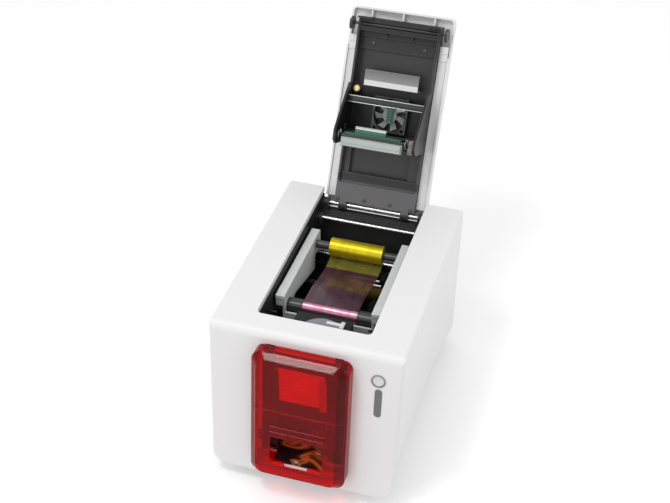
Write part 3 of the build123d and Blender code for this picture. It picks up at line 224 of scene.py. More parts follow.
def atRim(tree, source, plain, deep):
    # plain colour, deeper at both flanks, where the moulding is seen through its depth
    coord = addNode(tree, "ShaderNodeTexCoord")
    split = addNode(tree, "ShaderNodeSeparateXYZ")
    side = addNode(tree, "ShaderNodeMath", operation="ABSOLUTE")
    span = addNode(tree, "ShaderNodeMapRange")
    span.inputs["From Min"].default_value = 0.0395
    span.inputs["From Max"].default_value = 0.0425
    mix = addNode(tree, "ShaderNodeMix", data_type="RGBA")
    mix.inputs["B"].default_value = (*deep, 1)
    tree.links.new(coord.outputs["Object"], split.inputs[0])
    tree.links.new(split.outputs["X"], side.inputs[0])
    tree.links.new(side.outputs[0], span.inputs["Value"])
    tree.links.new(span.outputs[0], mix.inputs["Factor"])
    if source:
        tree.links.new(source.outputs["Color"], mix.inputs["A"])
    else:
        mix.inputs["A"].default_value = (*plain, 1)
    return mix


def coverRed():
    # dark red see-through moulding of the two front covers, which lets the lamps' light in
    material, tree, shader = startMaterial("coverRed", (0.90, 0.010, 0.016), 0.06)
    shader.inputs["Transmission Weight"].default_value = 0.91
    shader.inputs["IOR"].default_value = 1.22
    cloud = objectNoise(tree, 30.0, 2.0)
    clouded = tint(tree, cloud, (0.76, 0.008, 0.013), (0.84, 0.010, 0.017))
    tree.links.new(atRim(tree, clouded, None, (0.50, 0.005, 0.009)).outputs["Result"], shader.inputs["Base Color"])
    tree.links.new(spread(tree, cloud, 0.03, 0.07).outputs[0], shader.inputs["Roughness"])
    bevel = addNode(tree, "ShaderNodeBevel", samples=6)
    bevel.inputs["Radius"].default_value = 0.0010
    tree.links.new(bevel.outputs["Normal"], shader.inputs["Normal"])
    path = addNode(tree, "ShaderNodeLightPath")
    through = addNode(tree, "ShaderNodeBsdfTransparent")
    tree.links.new(atRim(tree, None, (0.92, 0.02, 0.03), (0.58, 0.010, 0.018)).outputs["Result"],
                   through.inputs["Color"])
    pick = addNode(tree, "ShaderNodeMixShader")
    tree.links.new(path.outputs["Is Shadow Ray"], pick.inputs["Fac"])
    tree.links.new(shader.outputs[0], pick.inputs[1])
    tree.links.new(through.outputs[0], pick.inputs[2])
    tree.links.new(pick.outputs[0], tree.nodes["Material Output"].inputs["Surface"])
    return material


def ribbonFilm(name, colour, streak, alpha, roughness=0.22, metallic=0.0):
    # thin printing film with streaks along its run
    material, tree, shader = startMaterial(name, colour, roughness, metallic)
    lines = objectNoise(tree, 70.0, 4.0, (2.5, 0.3, 0.3))
    tree.links.new(tint(tree, lines, colour, streak, 0.38, 0.66).outputs["Color"], shader.inputs["Base Color"])
    tree.links.new(spread(tree, lines, roughness - 0.06, roughness + 0.1).outputs[0], shader.inputs["Roughness"])
    shader.inputs["Alpha"].default_value = alpha
    shader.inputs["Coat Weight"].default_value = 0.15
    shader.inputs["Coat Roughness"].default_value = 0.3
    bump = addNode(tree, "ShaderNodeBump")
    bump.inputs["Strength"].default_value = 0.08
    bump.inputs["Distance"].default_value = 0.0002
    tree.links.new(lines.outputs[0], bump.inputs["Height"])
    tree.links.new(bump.outputs["Normal"], shader.inputs["Normal"])
    return material


def circuitBoard():
    material, tree, shader = startMaterial("circuitBoard", (0.012, 0.12, 0.07), 0.35)
    coord = addNode(tree, "ShaderNodeTexCoord")
    brick = addNode(tree, "ShaderNodeTexBrick", offset=0.37)
    brick.inputs["Scale"].default_value = 160.0
    brick.inputs["Color1"].default_value = (0.010, 0.10, 0.055, 1)
    brick.inputs["Color2"].default_value = (0.014, 0.135, 0.075, 1)
    brick.inputs["Mortar"].default_value = (0.05, 0.26, 0.15, 1)
    brick.inputs["Mortar Size"].default_value = 0.018
    tree.links.new(coord.outputs["Object"], brick.inputs["Vector"])
    tree.links.new(brick.outputs["Color"], shader.inputs["Base Color"])
    fine = objectNoise(tree, 700.0, 2.0)
    tree.links.new(spread(tree, fine, 0.28, 0.42).outputs[0], shader.inputs["Roughness"])
    softEdges(tree, shader, fine, 0.0002, 0.1)
    return material


printedFaceSetup = {
    "margin": -0.1995,       # the blank front edge of the card ends here
    "ground": (0.010, 0.009, 0.012),
    "brown": (0.075, 0.030, 0.015),
    "orange": (0.55, 0.22, 0.045),
    "cream": (0.62, 0.54, 0.42),
}


def printedFace():
    # abstract print: warm patches with soft rims over a dark ground, and a blank front margin
    material, tree, shader = startMaterial("printedFace", (0.9, 0.9, 0.9), 0.25)
    patch = objectNoise(tree, 34.0, 1.5)
    patch.inputs["Distortion"].default_value = 1.6
    ramp = tint(tree, patch, printedFaceSetup["ground"], printedFaceSetup["cream"], 0.40, 0.74)
    low = ramp.color_ramp.elements.new(0.50)
    low.color = (*printedFaceSetup["brown"], 1)
    mid = ramp.color_ramp.elements.new(0.58)
    mid.color = (*printedFaceSetup["orange"], 1)
    dark = ramp.color_ramp.elements.new(0.65)
    dark.color = (*printedFaceSetup["brown"], 1)
    edge = alongLine(tree, (0, 1, 0), printedFaceSetup["margin"] - 0.0002, printedFaceSetup["margin"] + 0.0002)
    mix = addNode(tree, "ShaderNodeMix", data_type="RGBA")
    mix.inputs["A"].default_value = (0.86, 0.86, 0.86, 1)
    tree.links.new(edge.outputs[0], mix.inputs["Factor"])
    tree.links.new(ramp.outputs["Color"], mix.inputs["B"])
    tree.links.new(mix.outputs["Result"], shader.inputs["Base Color"])
    fine = objectNoise(tree, 800.0, 2.0)
    tree.links.new(spread(tree, fine, 0.2, 0.32).outputs[0], shader.inputs["Roughness"])
    shader.inputs["Coat Weight"].default_value = 0.5
    return material


finishes = {
    "case_white": mouldedPlastic("caseWhite", (0.86, 0.852, 0.858), (0.84, 0.834, 0.842), 0.42, 1900.0, 0.0006),
    "hood_red": coverRed(),
    "button_clear": mouldedPlastic("buttonPale", (0.74, 0.74, 0.76), (0.70, 0.70, 0.72), 0.2, 900.0, 0.0006, 0.05),
    "indicator_clear": mouldedPlastic("indicatorGrey", (0.17, 0.168, 0.175), (0.14, 0.138, 0.145), 0.25, 900.0,
                                      0.0004, 0.05),
    "base_grey": mouldedPlastic("baseGrey", (0.42, 0.42, 0.44), (0.38, 0.38, 0.40), 0.5, 1500.0),
    "dark_plastic": mouldedPlastic("darkPlastic", (0.018, 0.018, 0.020), (0.026, 0.026, 0.029), 0.42, 1400.0,
                                   gloss=0.3),
    "core_black": mouldedPlastic("coreBlack", (0.030, 0.032, 0.033), (0.042, 0.044, 0.045), 0.3, 900.0, 0.0005, 0.08),
    "cartridge_grey": mouldedPlastic("cartridgeGrey", (0.72, 0.73, 0.73), (0.65, 0.66, 0.66), 0.35, 1200.0,
                                     0.0006, 0.2),
    "gauge_clear": mouldedPlastic("gaugeGrey", (0.20, 0.21, 0.23), (0.26, 0.27, 0.29), 0.22, 900.0, 0.0003, 0.06),
    "gear_white": mouldedPlastic("gearWhite", (0.70, 0.69, 0.64), (0.64, 0.63, 0.58), 0.4, 1200.0, 0.0002, 0.1),
    "card_white": mouldedPlastic("cardWhite", (0.86, 0.86, 0.86), (0.83, 0.83, 0.83), 0.25, 900.0, 0.0002, 0.04),
    "film_yellow": ribbonFilm("filmYellow", (0.58, 0.46, 0.003), (0.48, 0.37, 0.002), 1.0, 0.34, 0.75),
    "film_plum": ribbonFilm("filmPlum", (0.46, 0.20, 0.27), (0.37, 0.15, 0.21), 1.0, 0.28, 0.85),
    "board_green": circuitBoard(),
    "rubber_black": mouldedPlastic("rubberBlack", (0.018, 0.018, 0.018), (0.026, 0.026, 0.026), 0.7, 1100.0,
                                   0.0004, 0.3),
    "rubber_amber": mouldedPlastic("rubberAmber", (0.20, 0.13, 0.02), (0.16, 0.10, 0.015), 0.5, 1100.0, 0.0003, 0.2),
    "sheet_steel": brushedMetal("sheetSteel", (0.45, 0.46, 0.48), 0.36, (0.15, 3.0, 3.0)),
    "bright_sheet": brushedMetal("brightSheet", (0.74, 0.76, 0.74), 0.28, (0.12, 4.0, 4.0)),
    "shaft_steel": brushedMetal("shaftSteel", (0.50, 0.50, 0.51), 0.24, (0.1, 4.0, 4.0)),
    "motor_steel": brushedMetal("motorSteel", (0.16, 0.16, 0.17), 0.4, (0.3, 2.0, 2.0)),
    "brass": brushedMetal("brass", (0.70, 0.56, 0.26), 0.28, (1.0, 3.0, 3.0)),
}
lidStart = onLid.translation.dot(lidAlong)       # the hinge line, measured along the lid
# tone bands along the lid from the hinge line, in metres; the near-black band from 0.088 to 0.128 is painted shade of
# the deep part there, the other bands are tones by place; edges get the painted highlight
lidBandsWithPaintedShade = [(0.000, 0.040), (0.005, 0.15), (0.027, 0.14), (0.029, 0.030), (0.036, 0.030), (0.038, 0.075),
            (0.066, 0.060), (0.070, 0.045), (0.084, 0.030), (0.088, 0.006), (0.128, 0.006), (0.136, 0.036),
            (0.176, 0.042), (0.182, 0.026), (0.199, 0.020), (0.201, 0.014), (0.214, 0.018)]
lidGrey = plasticWithPaintedEdgeGlint("lidGrey", [(lidStart + place, (tone, tone * 0.97, tone * 1.01)) for place, tone in lidBandsWithPaintedShade],
                      tuple(lidAlong), 0.38, 1300.0, (0.15, 0.15, 0.15), 0.3)
deckTones = [(0.05, (0.012, 0.012, 0.012)), (0.060, (0.030, 0.030, 0.031)), (0.10, (0.040, 0.040, 0.041))]
deckGrey = plasticWithPaintedEdgeGlint("deckGrey", deckTones, (0, 1, 0), 0.4, 1300.0, (0.16, 0.16, 0.16), 0.3)
barBlack = plasticWithPaintedEdgeGlint("barBlack", deckTones, (0, 1, 0), 0.3, 1300.0, (0.12, 0.12, 0.12), 0.3)
wellBlack = mouldedPlastic("wellBlack", (0.010, 0.010, 0.011), (0.016, 0.016, 0.018), 0.45, 1300.0, gloss=0.25)
headStrip = mouldedPlastic("headStrip", (0.50, 0.54, 0.50), (0.42, 0.46, 0.43), 0.4, 900.0, 0.0006, 0.08)
gearGrey = mouldedPlastic("gearGrey", (0.30, 0.29, 0.26), (0.24, 0.23, 0.21), 0.4, 1200.0, 0.0002, 0.1)
darkSheet = brushedMetal("darkSheet", (0.060, 0.062, 0.064), 0.38, (0.15, 3.0, 3.0))
ringGrey = brushedMetal("ringGrey", (0.34, 0.34, 0.35), 0.3, (1.0, 1.0, 1.0), 0.0006)
fanSilver = mouldedPlastic("fanSilver", (0.46, 0.47, 0.48), (0.38, 0.39, 0.40), 0.25, 900.0, 0.0004, 0.08)
# deflector: pale along its lip, then a painted shade that darkens over the panel away from the lip; edges get the
# painted highlight
deflectorGrey = plasticWithPaintedEdgeGlint("deflectorGrey", [(lidStart + 0.1390, (0.78,) * 3), (lidStart + 0.1448, (0.72,) * 3),
                                              (lidStart + 0.1455, (0.26,) * 3), (lidStart + 0.158, (0.12,) * 3)],
                            tuple(lidAlong), 0.3, 900.0, (0.5, 0.5, 0.5), 0.5)

nodeSlots = {s["node"]: s["material_slot"] for s in frame["record"]["subparts"]}
ownFinish = {
    "printed_card": printedFace(), "lid_frame": lidGrey, "rear_deck": deckGrey, "head_bracket": darkSheet,
    "print_head": headStrip, "lid_gear_large": gearGrey, "lid_gear_small": gearGrey, "lid_lock_bar": barBlack,
    "side_plate_left": wellBlack, "side_plate_right": wellBlack, "well_floor": wellBlack, "feeder_frame": wellBlack,
    "button_bezel": ringGrey, "fan_rotor": fanSilver, "film_deflector": deflectorGrey, "cross_channel": darkSheet,
}
for nodeName, nodeObject in nodes.items():
    nodeObject.data.materials.clear()
    nodeObject.data.materials.append(ownFinish.get(nodeName, finishes[nodeSlots[nodeName]]))
print("materials set:", len(finishes) + len(ownFinish))

bpy.ops.object.select_all(action="DESELECT")

# ---- modelling helpers


def pickFaces(piece, test):
    bpy.context.view_layer.objects.active = piece
    bpy.ops.object.mode_set(mode="EDIT")
    bpy.ops.mesh.select_mode(type="FACE")
    bpy.ops.mesh.select_all(action="DESELECT")
    bpy.ops.object.mode_set(mode="OBJECT")
    for face in piece.data.polygons:
        face.select = test(face.center, face.normal)
    bpy.ops.object.mode_set(mode="EDIT")


def pickEdges(piece, test):
    bpy.context.view_layer.objects.active = piece
    bpy.ops.object.mode_set(mode="EDIT")
    bpy.ops.mesh.select_mode(type="EDGE")
    bpy.ops.mesh.select_all(action="DESELECT")
    bpy.ops.object.mode_set(mode="OBJECT")
    points = piece.data.vertices
    for edge in piece.data.edges:
        edge.select = test(points[edge.vertices[0]].co, points[edge.vertices[1]].co)
    bpy.ops.object.mode_set(mode="EDIT")


def namedPiece(name):
    piece = bpy.context.object
    piece.name = name
    piece.data.name = name
    bpy.ops.object.transform_apply(location=True, rotation=True, scale=True)
    return piece


def bar(name, low, high, rounding=0.0003, segments=2):
    # a bar between two corners, millimetres, with its edges rounded
    bpy.ops.object.select_all(action="DESELECT")
    low, high = Vector(low) / 1000, Vector(high) / 1000
    bpy.ops.mesh.primitive_cube_add(size=1, location=(low + high) / 2)
    bpy.context.object.scale = high - low
    piece = namedPiece(name)
    if rounding:
        pickEdges(piece, lambda a, b: True)
        bpy.ops.mesh.bevel(offset=rounding, segments=segments, affect="EDGES")
        bpy.ops.object.mode_set(mode="OBJECT")
    return piece


def disc(name, centre, axis, radius, length, vertices=48):
    # a round bar along x, y or z, millimetres
    bpy.ops.object.select_all(action="DESELECT")
    turn = {"x": (0, math.radians(90), 0), "y": (math.radians(90), 0, 0), "z": (0, 0, 0)}[axis]
    bpy.ops.mesh.primitive_cylinder_add(vertices=vertices, radius=radius / 1000, depth=length / 1000,
                                        location=Vector(centre) / 1000, rotation=turn)
    return namedPiece(name)


def boreThrough(piece):
    # the selected end faces come out and a wall joins their rims
    bpy.ops.mesh.delete(type="FACE")
    bpy.ops.mesh.select_mode(type="EDGE")
    bpy.ops.mesh.select_all(action="DESELECT")
    bpy.ops.mesh.select_non_manifold()
    bpy.ops.mesh.bridge_edge_loops()
    bpy.ops.object.mode_set(mode="OBJECT")


def join(name, pieces):
    bpy.ops.object.select_all(action="DESELECT")
    for piece in pieces:
        piece.select_set(True)
    bpy.context.view_layer.objects.active = pieces[0]
    bpy.ops.object.join()
    pieces[0].name = name
    return pieces[0]


def copyMoved(piece, name, shift):
    bpy.ops.object.select_all(action="DESELECT")
    piece.select_set(True)
    bpy.context.view_layer.objects.active = piece
    bpy.ops.object.duplicate()
    bpy.context.object.location = Vector(shift) / 1000
    return namedPiece(name)


def settle(piece, body, finish, place=None, angle=35):
    # final place, smooth faces, finish and body
    bpy.ops.object.select_all(action="DESELECT")
    piece.select_set(True)
    bpy.context.view_layer.objects.active = piece
    if place is not None:
        piece.matrix_world = place
        bpy.ops.object.transform_apply(location=True, rotation=True, scale=True)
    bpy.ops.object.mode_set(mode="EDIT")
    bpy.ops.mesh.select_all(action="SELECT")
    bpy.ops.mesh.normals_make_consistent(inside=False)
    bpy.ops.object.mode_set(mode="OBJECT")
    bpy.ops.object.shade_smooth_by_angle(angle=math.radians(angle))
    piece.data.materials.clear()
    piece.data.materials.append(finish)
    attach(piece, body)
    return piece


# ---- printing film: two wound rolls and the sheet between them
filmSetup = {
    "half": 30.0,
    "supply": (68.0, 166.0), "supplyRadius": 10.4,
    "takeup": (-30.6, 157.5), "takeupRadius": 8.7,
    "bore": 5.05,
    "laps": 5,                # grooves left by the wound layers on each end
    "dip": (47.0, 152.5),
    "front": [(-31.6, 166.35), (-20.0, 165.6), (-8.0, 164.6), (6.0, 161.6), (22.0, 157.2), (36.0, 154.2),
              (47.0, 152.6)],
    "rear": [(47.3, 152.6), (53.0, 153.0), (59.0, 153.9), (64.4, 154.9), (69.0, 155.45)],
    "thick": 0.12,
    # with the lid shut: direction, place and share left
    "pressed": {"front": ((0, 0, 1), (0, 0, 0.1460), 0.1), "rear": ((0, 1, 0), (0, 0.0200, 0), 0.03)},
}


def filmRoll(name, place, radius):
    y, z = place
    roll = disc(name, (0, 0, 0), "x", radius, 2 * filmSetup["half"], 128)
    ends = lambda centre, normal: abs(normal.x) > 0.9
    step = (radius - filmSetup["bore"]) / 1000 / (2 * filmSetup["laps"])
    pickFaces(roll, ends)
    bpy.ops.mesh.inset(thickness=step * 0.4, depth=0.0)
    for lap in range(2 * filmSetup["laps"] - 1):
        bpy.ops.mesh.inset(thickness=step, depth=-0.00018 if lap % 2 == 0 else 0.00014)
    bpy.ops.mesh.inset(thickness=step * 0.6, depth=0.0)
    boreThrough(roll)
    pickEdges(roll, lambda a, b: abs(a.x - b.x) > 0.03)     # long edges, cut so that the surface can swell
    bpy.ops.mesh.subdivide(number_cuts=12)
    bpy.ops.object.mode_set(mode="OBJECT")
    for point in roll.data.vertices:
        if math.hypot(point.co.y, point.co.z) > radius / 1000 - 0.0001:
            wave = 1 - 0.012 * (1 + math.cos(point.co.x * 210)) * (0.6 + 0.4 * math.sin(3 * math.atan2(point.co.z, point.co.y)))
            point.co.y *= wave
            point.co.z *= wave
    return roll


def filmSheet(name, points):
    bpy.ops.object.select_all(action="DESELECT")
    bpy.ops.curve.primitive_nurbs_path_add()
    path = bpy.context.object
    spline = path.data.splines[0]
    spline.points.add(len(points) - len(spline.points)) if len(points) > len(spline.points) else None
    while len(spline.points) > len(points):
        path.data.splines.remove(spline)
        spline = path.data.splines.new("NURBS")
        spline.points.add(len(points) - 1)
    for point, (y, z) in zip(spline.points, points):
        point.co = (-filmSetup["half"] / 1000, y / 1000, z / 1000, 1)
    spline.order_u = 3
    spline.use_endpoint_u = True
    path.data.resolution_u = 6
    bpy.ops.object.convert(target="MESH")
    sheet = namedPiece(name)
    bpy.ops.object.mode_set(mode="EDIT")
    bpy.ops.mesh.select_mode(type="EDGE")
    bpy.ops.mesh.select_all(action="SELECT")
    for strip in range(24):
        bpy.ops.mesh.extrude_region_move(TRANSFORM_OT_translate={"value": (filmSetup["half"] / 12000, 0, 0)})
    bpy.ops.object.mode_set(mode="OBJECT")
    first, last = points[0][0] / 1000, points[-1][0] / 1000
    for point in sheet.data.vertices:      # slack ripples that die out at both ends
        run = (point.co.y - first) / (last - first)
        swell = math.sin(math.pi * min(max(run, 0), 1))
        point.co.z += 0.00035 * swell * math.sin(point.co.x * 160 + run * 5.0) * math.cos(run * 9.0)
    thick = sheet.modifiers.new("thick", "SOLIDIFY")
    thick.thickness = filmSetup["thick"] / 1000
    thick.offset = 0
    bpy.ops.object.modifier_apply(modifier="thick")
    return sheet


filmRear = ribbonFilm("filmSheetYellow", (0.33, 0.29, 0.045), (0.25, 0.21, 0.035), 0.40, 0.25)
filmFront = ribbonFilm("filmSheetPlum", (0.095, 0.032, 0.052), (0.045, 0.014, 0.026), 0.82, 0.2)
supplyRoll = filmRoll("supplyRoll", filmSetup["supply"], filmSetup["supplyRadius"])
settle(supplyRoll, "supply", finishes["film_yellow"],
       Matrix.Translation(fromDrawing(*filmSetup["supply"])))
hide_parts("supply_film_roll")
takeupRoll = filmRoll("takeupRoll", filmSetup["takeup"], filmSetup["takeupRadius"])
settle(takeupRoll, "takeup", finishes["film_plum"], Matrix.Translation(fromDrawing(*filmSetup["takeup"])))
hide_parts("takeup_film_roll")
for name, key, node, slot, finish in (("yellowSheet", "rear", "film_rear", "film_yellow", filmRear),
                                      ("plumSheet", "front", "film_front", "film_plum", filmFront)):
    sheet = filmSheet(name, filmSetup[key])
    settle(sheet, "cartridge", finish, onTable)
    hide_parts(node)
    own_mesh(sheet)
print("film done")

# ---- lid: fan, painted highlight strips on the channel, head trim, latch rings
fanSetup = {
    "centre": (2.0, 109.0),     # x and distance from the hinge
    "top": -2.2,                # height below the hinge line
    "hub": 8.0,
    "bore": 1.56,
    "tip": 17.2,
    "blades": 7,
}


def fanWheel():
    x, s = fanSetup["centre"]
    hub = disc("fanHub", (0, 0, 0), "z", fanSetup["hub"], 7.0, 48)
    pickFaces(hub, lambda centre, normal: abs(normal.z) > 0.9)
    bpy.ops.mesh.inset(thickness=0.0009, depth=0.0)
    bpy.ops.mesh.inset(thickness=0.0004, depth=-0.0005)
    bpy.ops.mesh.inset(thickness=0.0022, depth=0.0)
    bpy.ops.mesh.inset(thickness=0.0004, depth=0.0004)
    bpy.ops.mesh.inset(thickness=(fanSetup["hub"] - fanSetup["bore"]) / 1000 - 0.0039, depth=0.0)
    boreThrough(hub)
    blades = []
    for i in range(fanSetup["blades"]):
        blade = bar("fanBlade", (-2.6, 7.2, -0.5), (2.6, fanSetup["tip"], 0.5), 0)
        pickEdges(blade, lambda a, b: abs(a.y - b.y) > 0.005)
        bpy.ops.mesh.subdivide(number_cuts=6)
        bpy.ops.object.mode_set(mode="OBJECT")
        for point in blade.data.vertices:       # swept forward and twisted, wider at the tip
            out = (point.co.y - 0.0072) / 0.0100
            x0, z0 = point.co.x * (0.8 + 0.75 * out), point.co.z
            pitch = math.radians(38 - 16 * out)
            point.co.x = x0 * math.cos(pitch) - z0 * math.sin(pitch) + 0.0022 * out * out
            point.co.z = x0 * math.sin(pitch) + z0 * math.cos(pitch)
        blade.rotation_euler = (0, 0, 2 * math.pi * i / fanSetup["blades"])
        blades.append(namedPiece("fanBlade"))
    wheel = join("fanWheel", [hub] + blades)
    return wheel, Matrix.Translation((x / 1000, s / 1000, fanSetup["top"] / 1000 - 0.0035))


wheel, wheelPlace = fanWheel()
settle(wheel, "fan", fanSilver, onLid @ wheelPlace)
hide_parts("fan_rotor")

strut = bar("fanStrut", (-0.6, 100.2, 0.2), (6.0, 118.0, 1.2), 0.0002)
pickFaces(strut, lambda centre, normal: normal.z > 0.9)
bpy.ops.mesh.inset(thickness=0.0006, depth=-0.0003)
bpy.ops.object.mode_set(mode="OBJECT")
settle(strut, "lid", finishes["board_green"], onLid)

trimSetup = {
    "glintLines": (119.2, 126.0),      # two painted highlight strips along the channel's edges
    "glintTop": 19.0,
    "connector": ((-26.0, 91.8, 33.4), (9.0, 94.6, 36.4)),
}
# painted highlight: two bright metal strips laid on the channel's edges stand for the light they catch
channelGlintStrip = bar("channelGlintLine", (-43.8, 119.0, 19.0), (43.8, 119.9, 19.7), 0.00022)
channelGlintStripFar = copyMoved(channelGlintStrip, "channelGlintLineFar", (0, 7.1, 0))
glintStripMetal = brushedMetal("glintStripMetal", (0.60, 0.60, 0.60), 0.3, (0.12, 4.0, 4.0))
settle(channelGlintStrip, "lid", glintStripMetal, onLid)
settle(channelGlintStripFar, "lid", glintStripMetal, onLid)

connector = bar("headConnector", (-26.0, 91.6, 32.2), (9.0, 94.4, 36.8), 0.0003)
pickFaces(connector, lambda centre, normal: normal.z > 0.9 and abs(centre.x + 0.0085) < 0.017)
bpy.ops.mesh.inset(thickness=0.0006, depth=-0.0006)
bpy.ops.object.mode_set(mode="OBJECT")
connectorCream = mouldedPlastic("connectorCream", (0.78, 0.76, 0.72), (0.70, 0.68, 0.64), 0.3, 1100.0, 0.0003, 0.1)
settle(connector, "head", connectorCream, onLid)

# flat white margins of the lid's inside, one along each flank, with a stepped rib near the latch
marginSetup = {
    "inner": 47.4, "outer": 56.6,
    "along": (8.0, 193.0),
    "below": (-6.0, -4.8),
    "rib": 178.0,
}


def lidMargin():
    near, far = marginSetup["along"]
    back, face = marginSetup["below"]
    margin = bar("lidMarginLeft", (-marginSetup["outer"], near, back), (-marginSetup["inner"], far, face), 0)
    for cut in (74.0, marginSetup["rib"] - 1.0, marginSetup["rib"] + 1.0, marginSetup["rib"] + 7.0,
                marginSetup["rib"] + 8.4):
        bpy.ops.object.mode_set(mode="EDIT")
        bpy.ops.mesh.select_all(action="SELECT")
        bpy.ops.mesh.bisect(plane_co=(0, cut / 1000, 0), plane_no=(0, 1, 0))
        bpy.ops.object.mode_set(mode="OBJECT")
    raised = ((marginSetup["rib"] - 1.0, marginSetup["rib"] + 1.0),
              (marginSetup["rib"] + 7.0, marginSetup["rib"] + 8.4))
    for low, high in raised:
        pickFaces(margin, lambda c, n: n.z > 0.9 and low < c.y * 1000 < high)
        bpy.ops.mesh.extrude_region_move(TRANSFORM_OT_translate={"value": (0, 0, 0.0011)})
        bpy.ops.object.mode_set(mode="OBJECT")
    pickFaces(margin, lambda c, n: n.z > 0.9 and 74.0 < c.y * 1000 < marginSetup["rib"] - 1.0)
    bpy.ops.mesh.inset(thickness=0.0016, depth=-0.0005)
    bpy.ops.object.mode_set(mode="OBJECT")
    return margin


leftMargin = lidMargin()
bpy.ops.object.select_all(action="DESELECT")
leftMargin.select_set(True)
bpy.context.view_layer.objects.active = leftMargin
bpy.ops.object.duplicate()
rightMargin = bpy.context.object
rightMargin.scale = (-1, 1, 1)
rightMargin = namedPiece("lidMarginRight")
for piece in (leftMargin, rightMargin):
    settle(piece, "lid", finishes["case_white"], onLid)

# screws: a domed head with a round recess
screwPlaces = [(-43.0, 6.5, 3.05), (43.0, 6.5, 3.05), (-12.0, 9.0, 3.05), (18.0, 9.0, 3.05),
               (-30.0, 186.0, -7.95), (30.0, 186.0, -7.95), (-24.0, 76.0, -4.95), (24.0, 76.0, -4.95)]


def screwHead(name, radius=2.1):
    head = disc(name, (0, 0, 0.4), "z", radius, 0.8, 24)
    pickFaces(head, lambda c, n: n.z > 0.9)
    bpy.ops.mesh.inset(thickness=0.0004, depth=0.0003)
    bpy.ops.mesh.inset(thickness=0.0006, depth=0.0)
    bpy.ops.mesh.inset(thickness=0.0003, depth=-0.0007)
    bpy.ops.object.mode_set(mode="OBJECT")
    return head


heads = []
for x, s, n in screwPlaces:
    head = screwHead("lidScrew")
    head.location = Vector((x, s, n)) / 1000
    heads.append(namedPiece("lidScrew"))
lidScrews = join("lidScrews", heads)
settle(lidScrews, "lid", brushedMetal("screwSteel", (0.11, 0.11, 0.112), 0.35, (1, 1, 1)), onLid)

# cooling slots pressed in the head's heat spreader, and its two clips
spreader = bar("headSpreader", (-40.0, 86.0, 20.0), (36.0, 87.0, 23.6), 0.0003)
for x in range(-34, 32, 6):
    bpy.ops.object.mode_set(mode="EDIT")
    bpy.ops.mesh.select_all(action="SELECT")
    bpy.ops.mesh.bisect(plane_co=(x / 1000, 0, 0), plane_no=(1, 0, 0))
    bpy.ops.object.mode_set(mode="OBJECT")
pickFaces(spreader, lambda c, n: n.y > 0.9 and int((c.x * 1000 + 40) // 6) % 2 == 0)
bpy.ops.mesh.inset(thickness=0.0005, depth=-0.0004, use_individual=True)
bpy.ops.object.mode_set(mode="OBJECT")
settle(spreader, "head", darkSheet, onLid)


def springClip(name, x):
    # a wire ring held in a short post
    bpy.ops.object.select_all(action="DESELECT")
    bpy.ops.mesh.primitive_torus_add(major_radius=0.0042, minor_radius=0.0008, major_segments=40, minor_segments=12,
                                     location=(x / 1000, 0.0835, 0.0405), rotation=(0, math.radians(78), 0))
    ring = namedPiece(name)
    post = bar(name + "Post", (x - 1.6, 85.6, 35.0), (x + 1.6, 89.0, 41.0), 0.0005)
    pickFaces(post, lambda c, n: abs(n.x) > 0.9)
    bpy.ops.mesh.inset(thickness=0.0007, depth=-0.0005)
    bpy.ops.object.mode_set(mode="OBJECT")
    return join(name, [ring, post])


clipSteel = brushedMetal("clipSteel", (0.30, 0.30, 0.31), 0.25, (1, 1, 1))
for name, x in (("headClipLeft", -41.6), ("headClipRight", 34.6)):
    settle(springClip(name, x), "head", clipSteel, onLid)

# knurled collar on the brass stud
collar = disc("studCollar", (0, 0, 0), "z", 3.7, 4.6, 36)
pickFaces(collar, lambda c, n: abs(n.z) > 0.9)
bpy.ops.mesh.inset(thickness=0.0003, depth=0.0003)
bpy.ops.mesh.inset(thickness=0.0006, depth=0.0)
boreThrough(collar)
pickFaces(collar, lambda c, n: abs(n.z) < 0.1 and math.hypot(c.x, c.y) > 0.0035)
bpy.ops.mesh.inset(thickness=0.00012, depth=-0.00015, use_individual=True)
bpy.ops.object.mode_set(mode="OBJECT")
settle(collar, "lid", brushedMetal("paleBrass", (0.86, 0.76, 0.48), 0.34, (1.0, 1.0, 3.0)),
       onLid @ Matrix.Translation((-0.039, 0.134, 0.0016)))
print("lid trim done")

# ---- front covers: pale plate behind the hinge, and lines in the two pressed slots
plate = bar("hingePlate", (-31.5, -22.0, -2.4), (31.5, -13.4, -1.6), 0.0002)
pickFaces(plate, lambda c, n: n.z > 0.9)
bpy.ops.mesh.inset(thickness=0.0008, depth=-0.0002)
bpy.ops.object.mode_set(mode="OBJECT")
settle(plate, "chassis", finishes["case_white"], onPanel)
slotLine = bar("slotLine", (-28.7, -99.5, 19.98), (28.7, -98.8, 20.5), 0.0002)
farSlotLine = copyMoved(slotLine, "slotLineLow", (0, -7.0, 0))
slotPink = mouldedPlastic("slotPink", (0.34, 0.07, 0.09), (0.28, 0.05, 0.07), 0.3, 900.0, 0.0002, 0.05)
for piece in (slotLine, farSlotLine):
    settle(piece, "chassis", slotPink, onPanel)
print("front done")

# ---- gauge lever and card stack lips
hook = bar("gaugeHook", (5.0, -65.2, 170.6), (23.2, -60.8, 172.52), 0.0005, 3)
hookTip = bar("gaugeHookTip", (19.8, -68.2, 170.6), (24.2, -57.8, 172.55), 0.0006, 3)
hook = join("gaugeHook", [hook, hookTip])
leverWhite = mouldedPlastic("leverWhite", (0.80, 0.80, 0.78), (0.74, 0.74, 0.72), 0.3, 1100.0, 0.0004, 0.08)
settle(hook, "gauge", leverWhite, onTable)

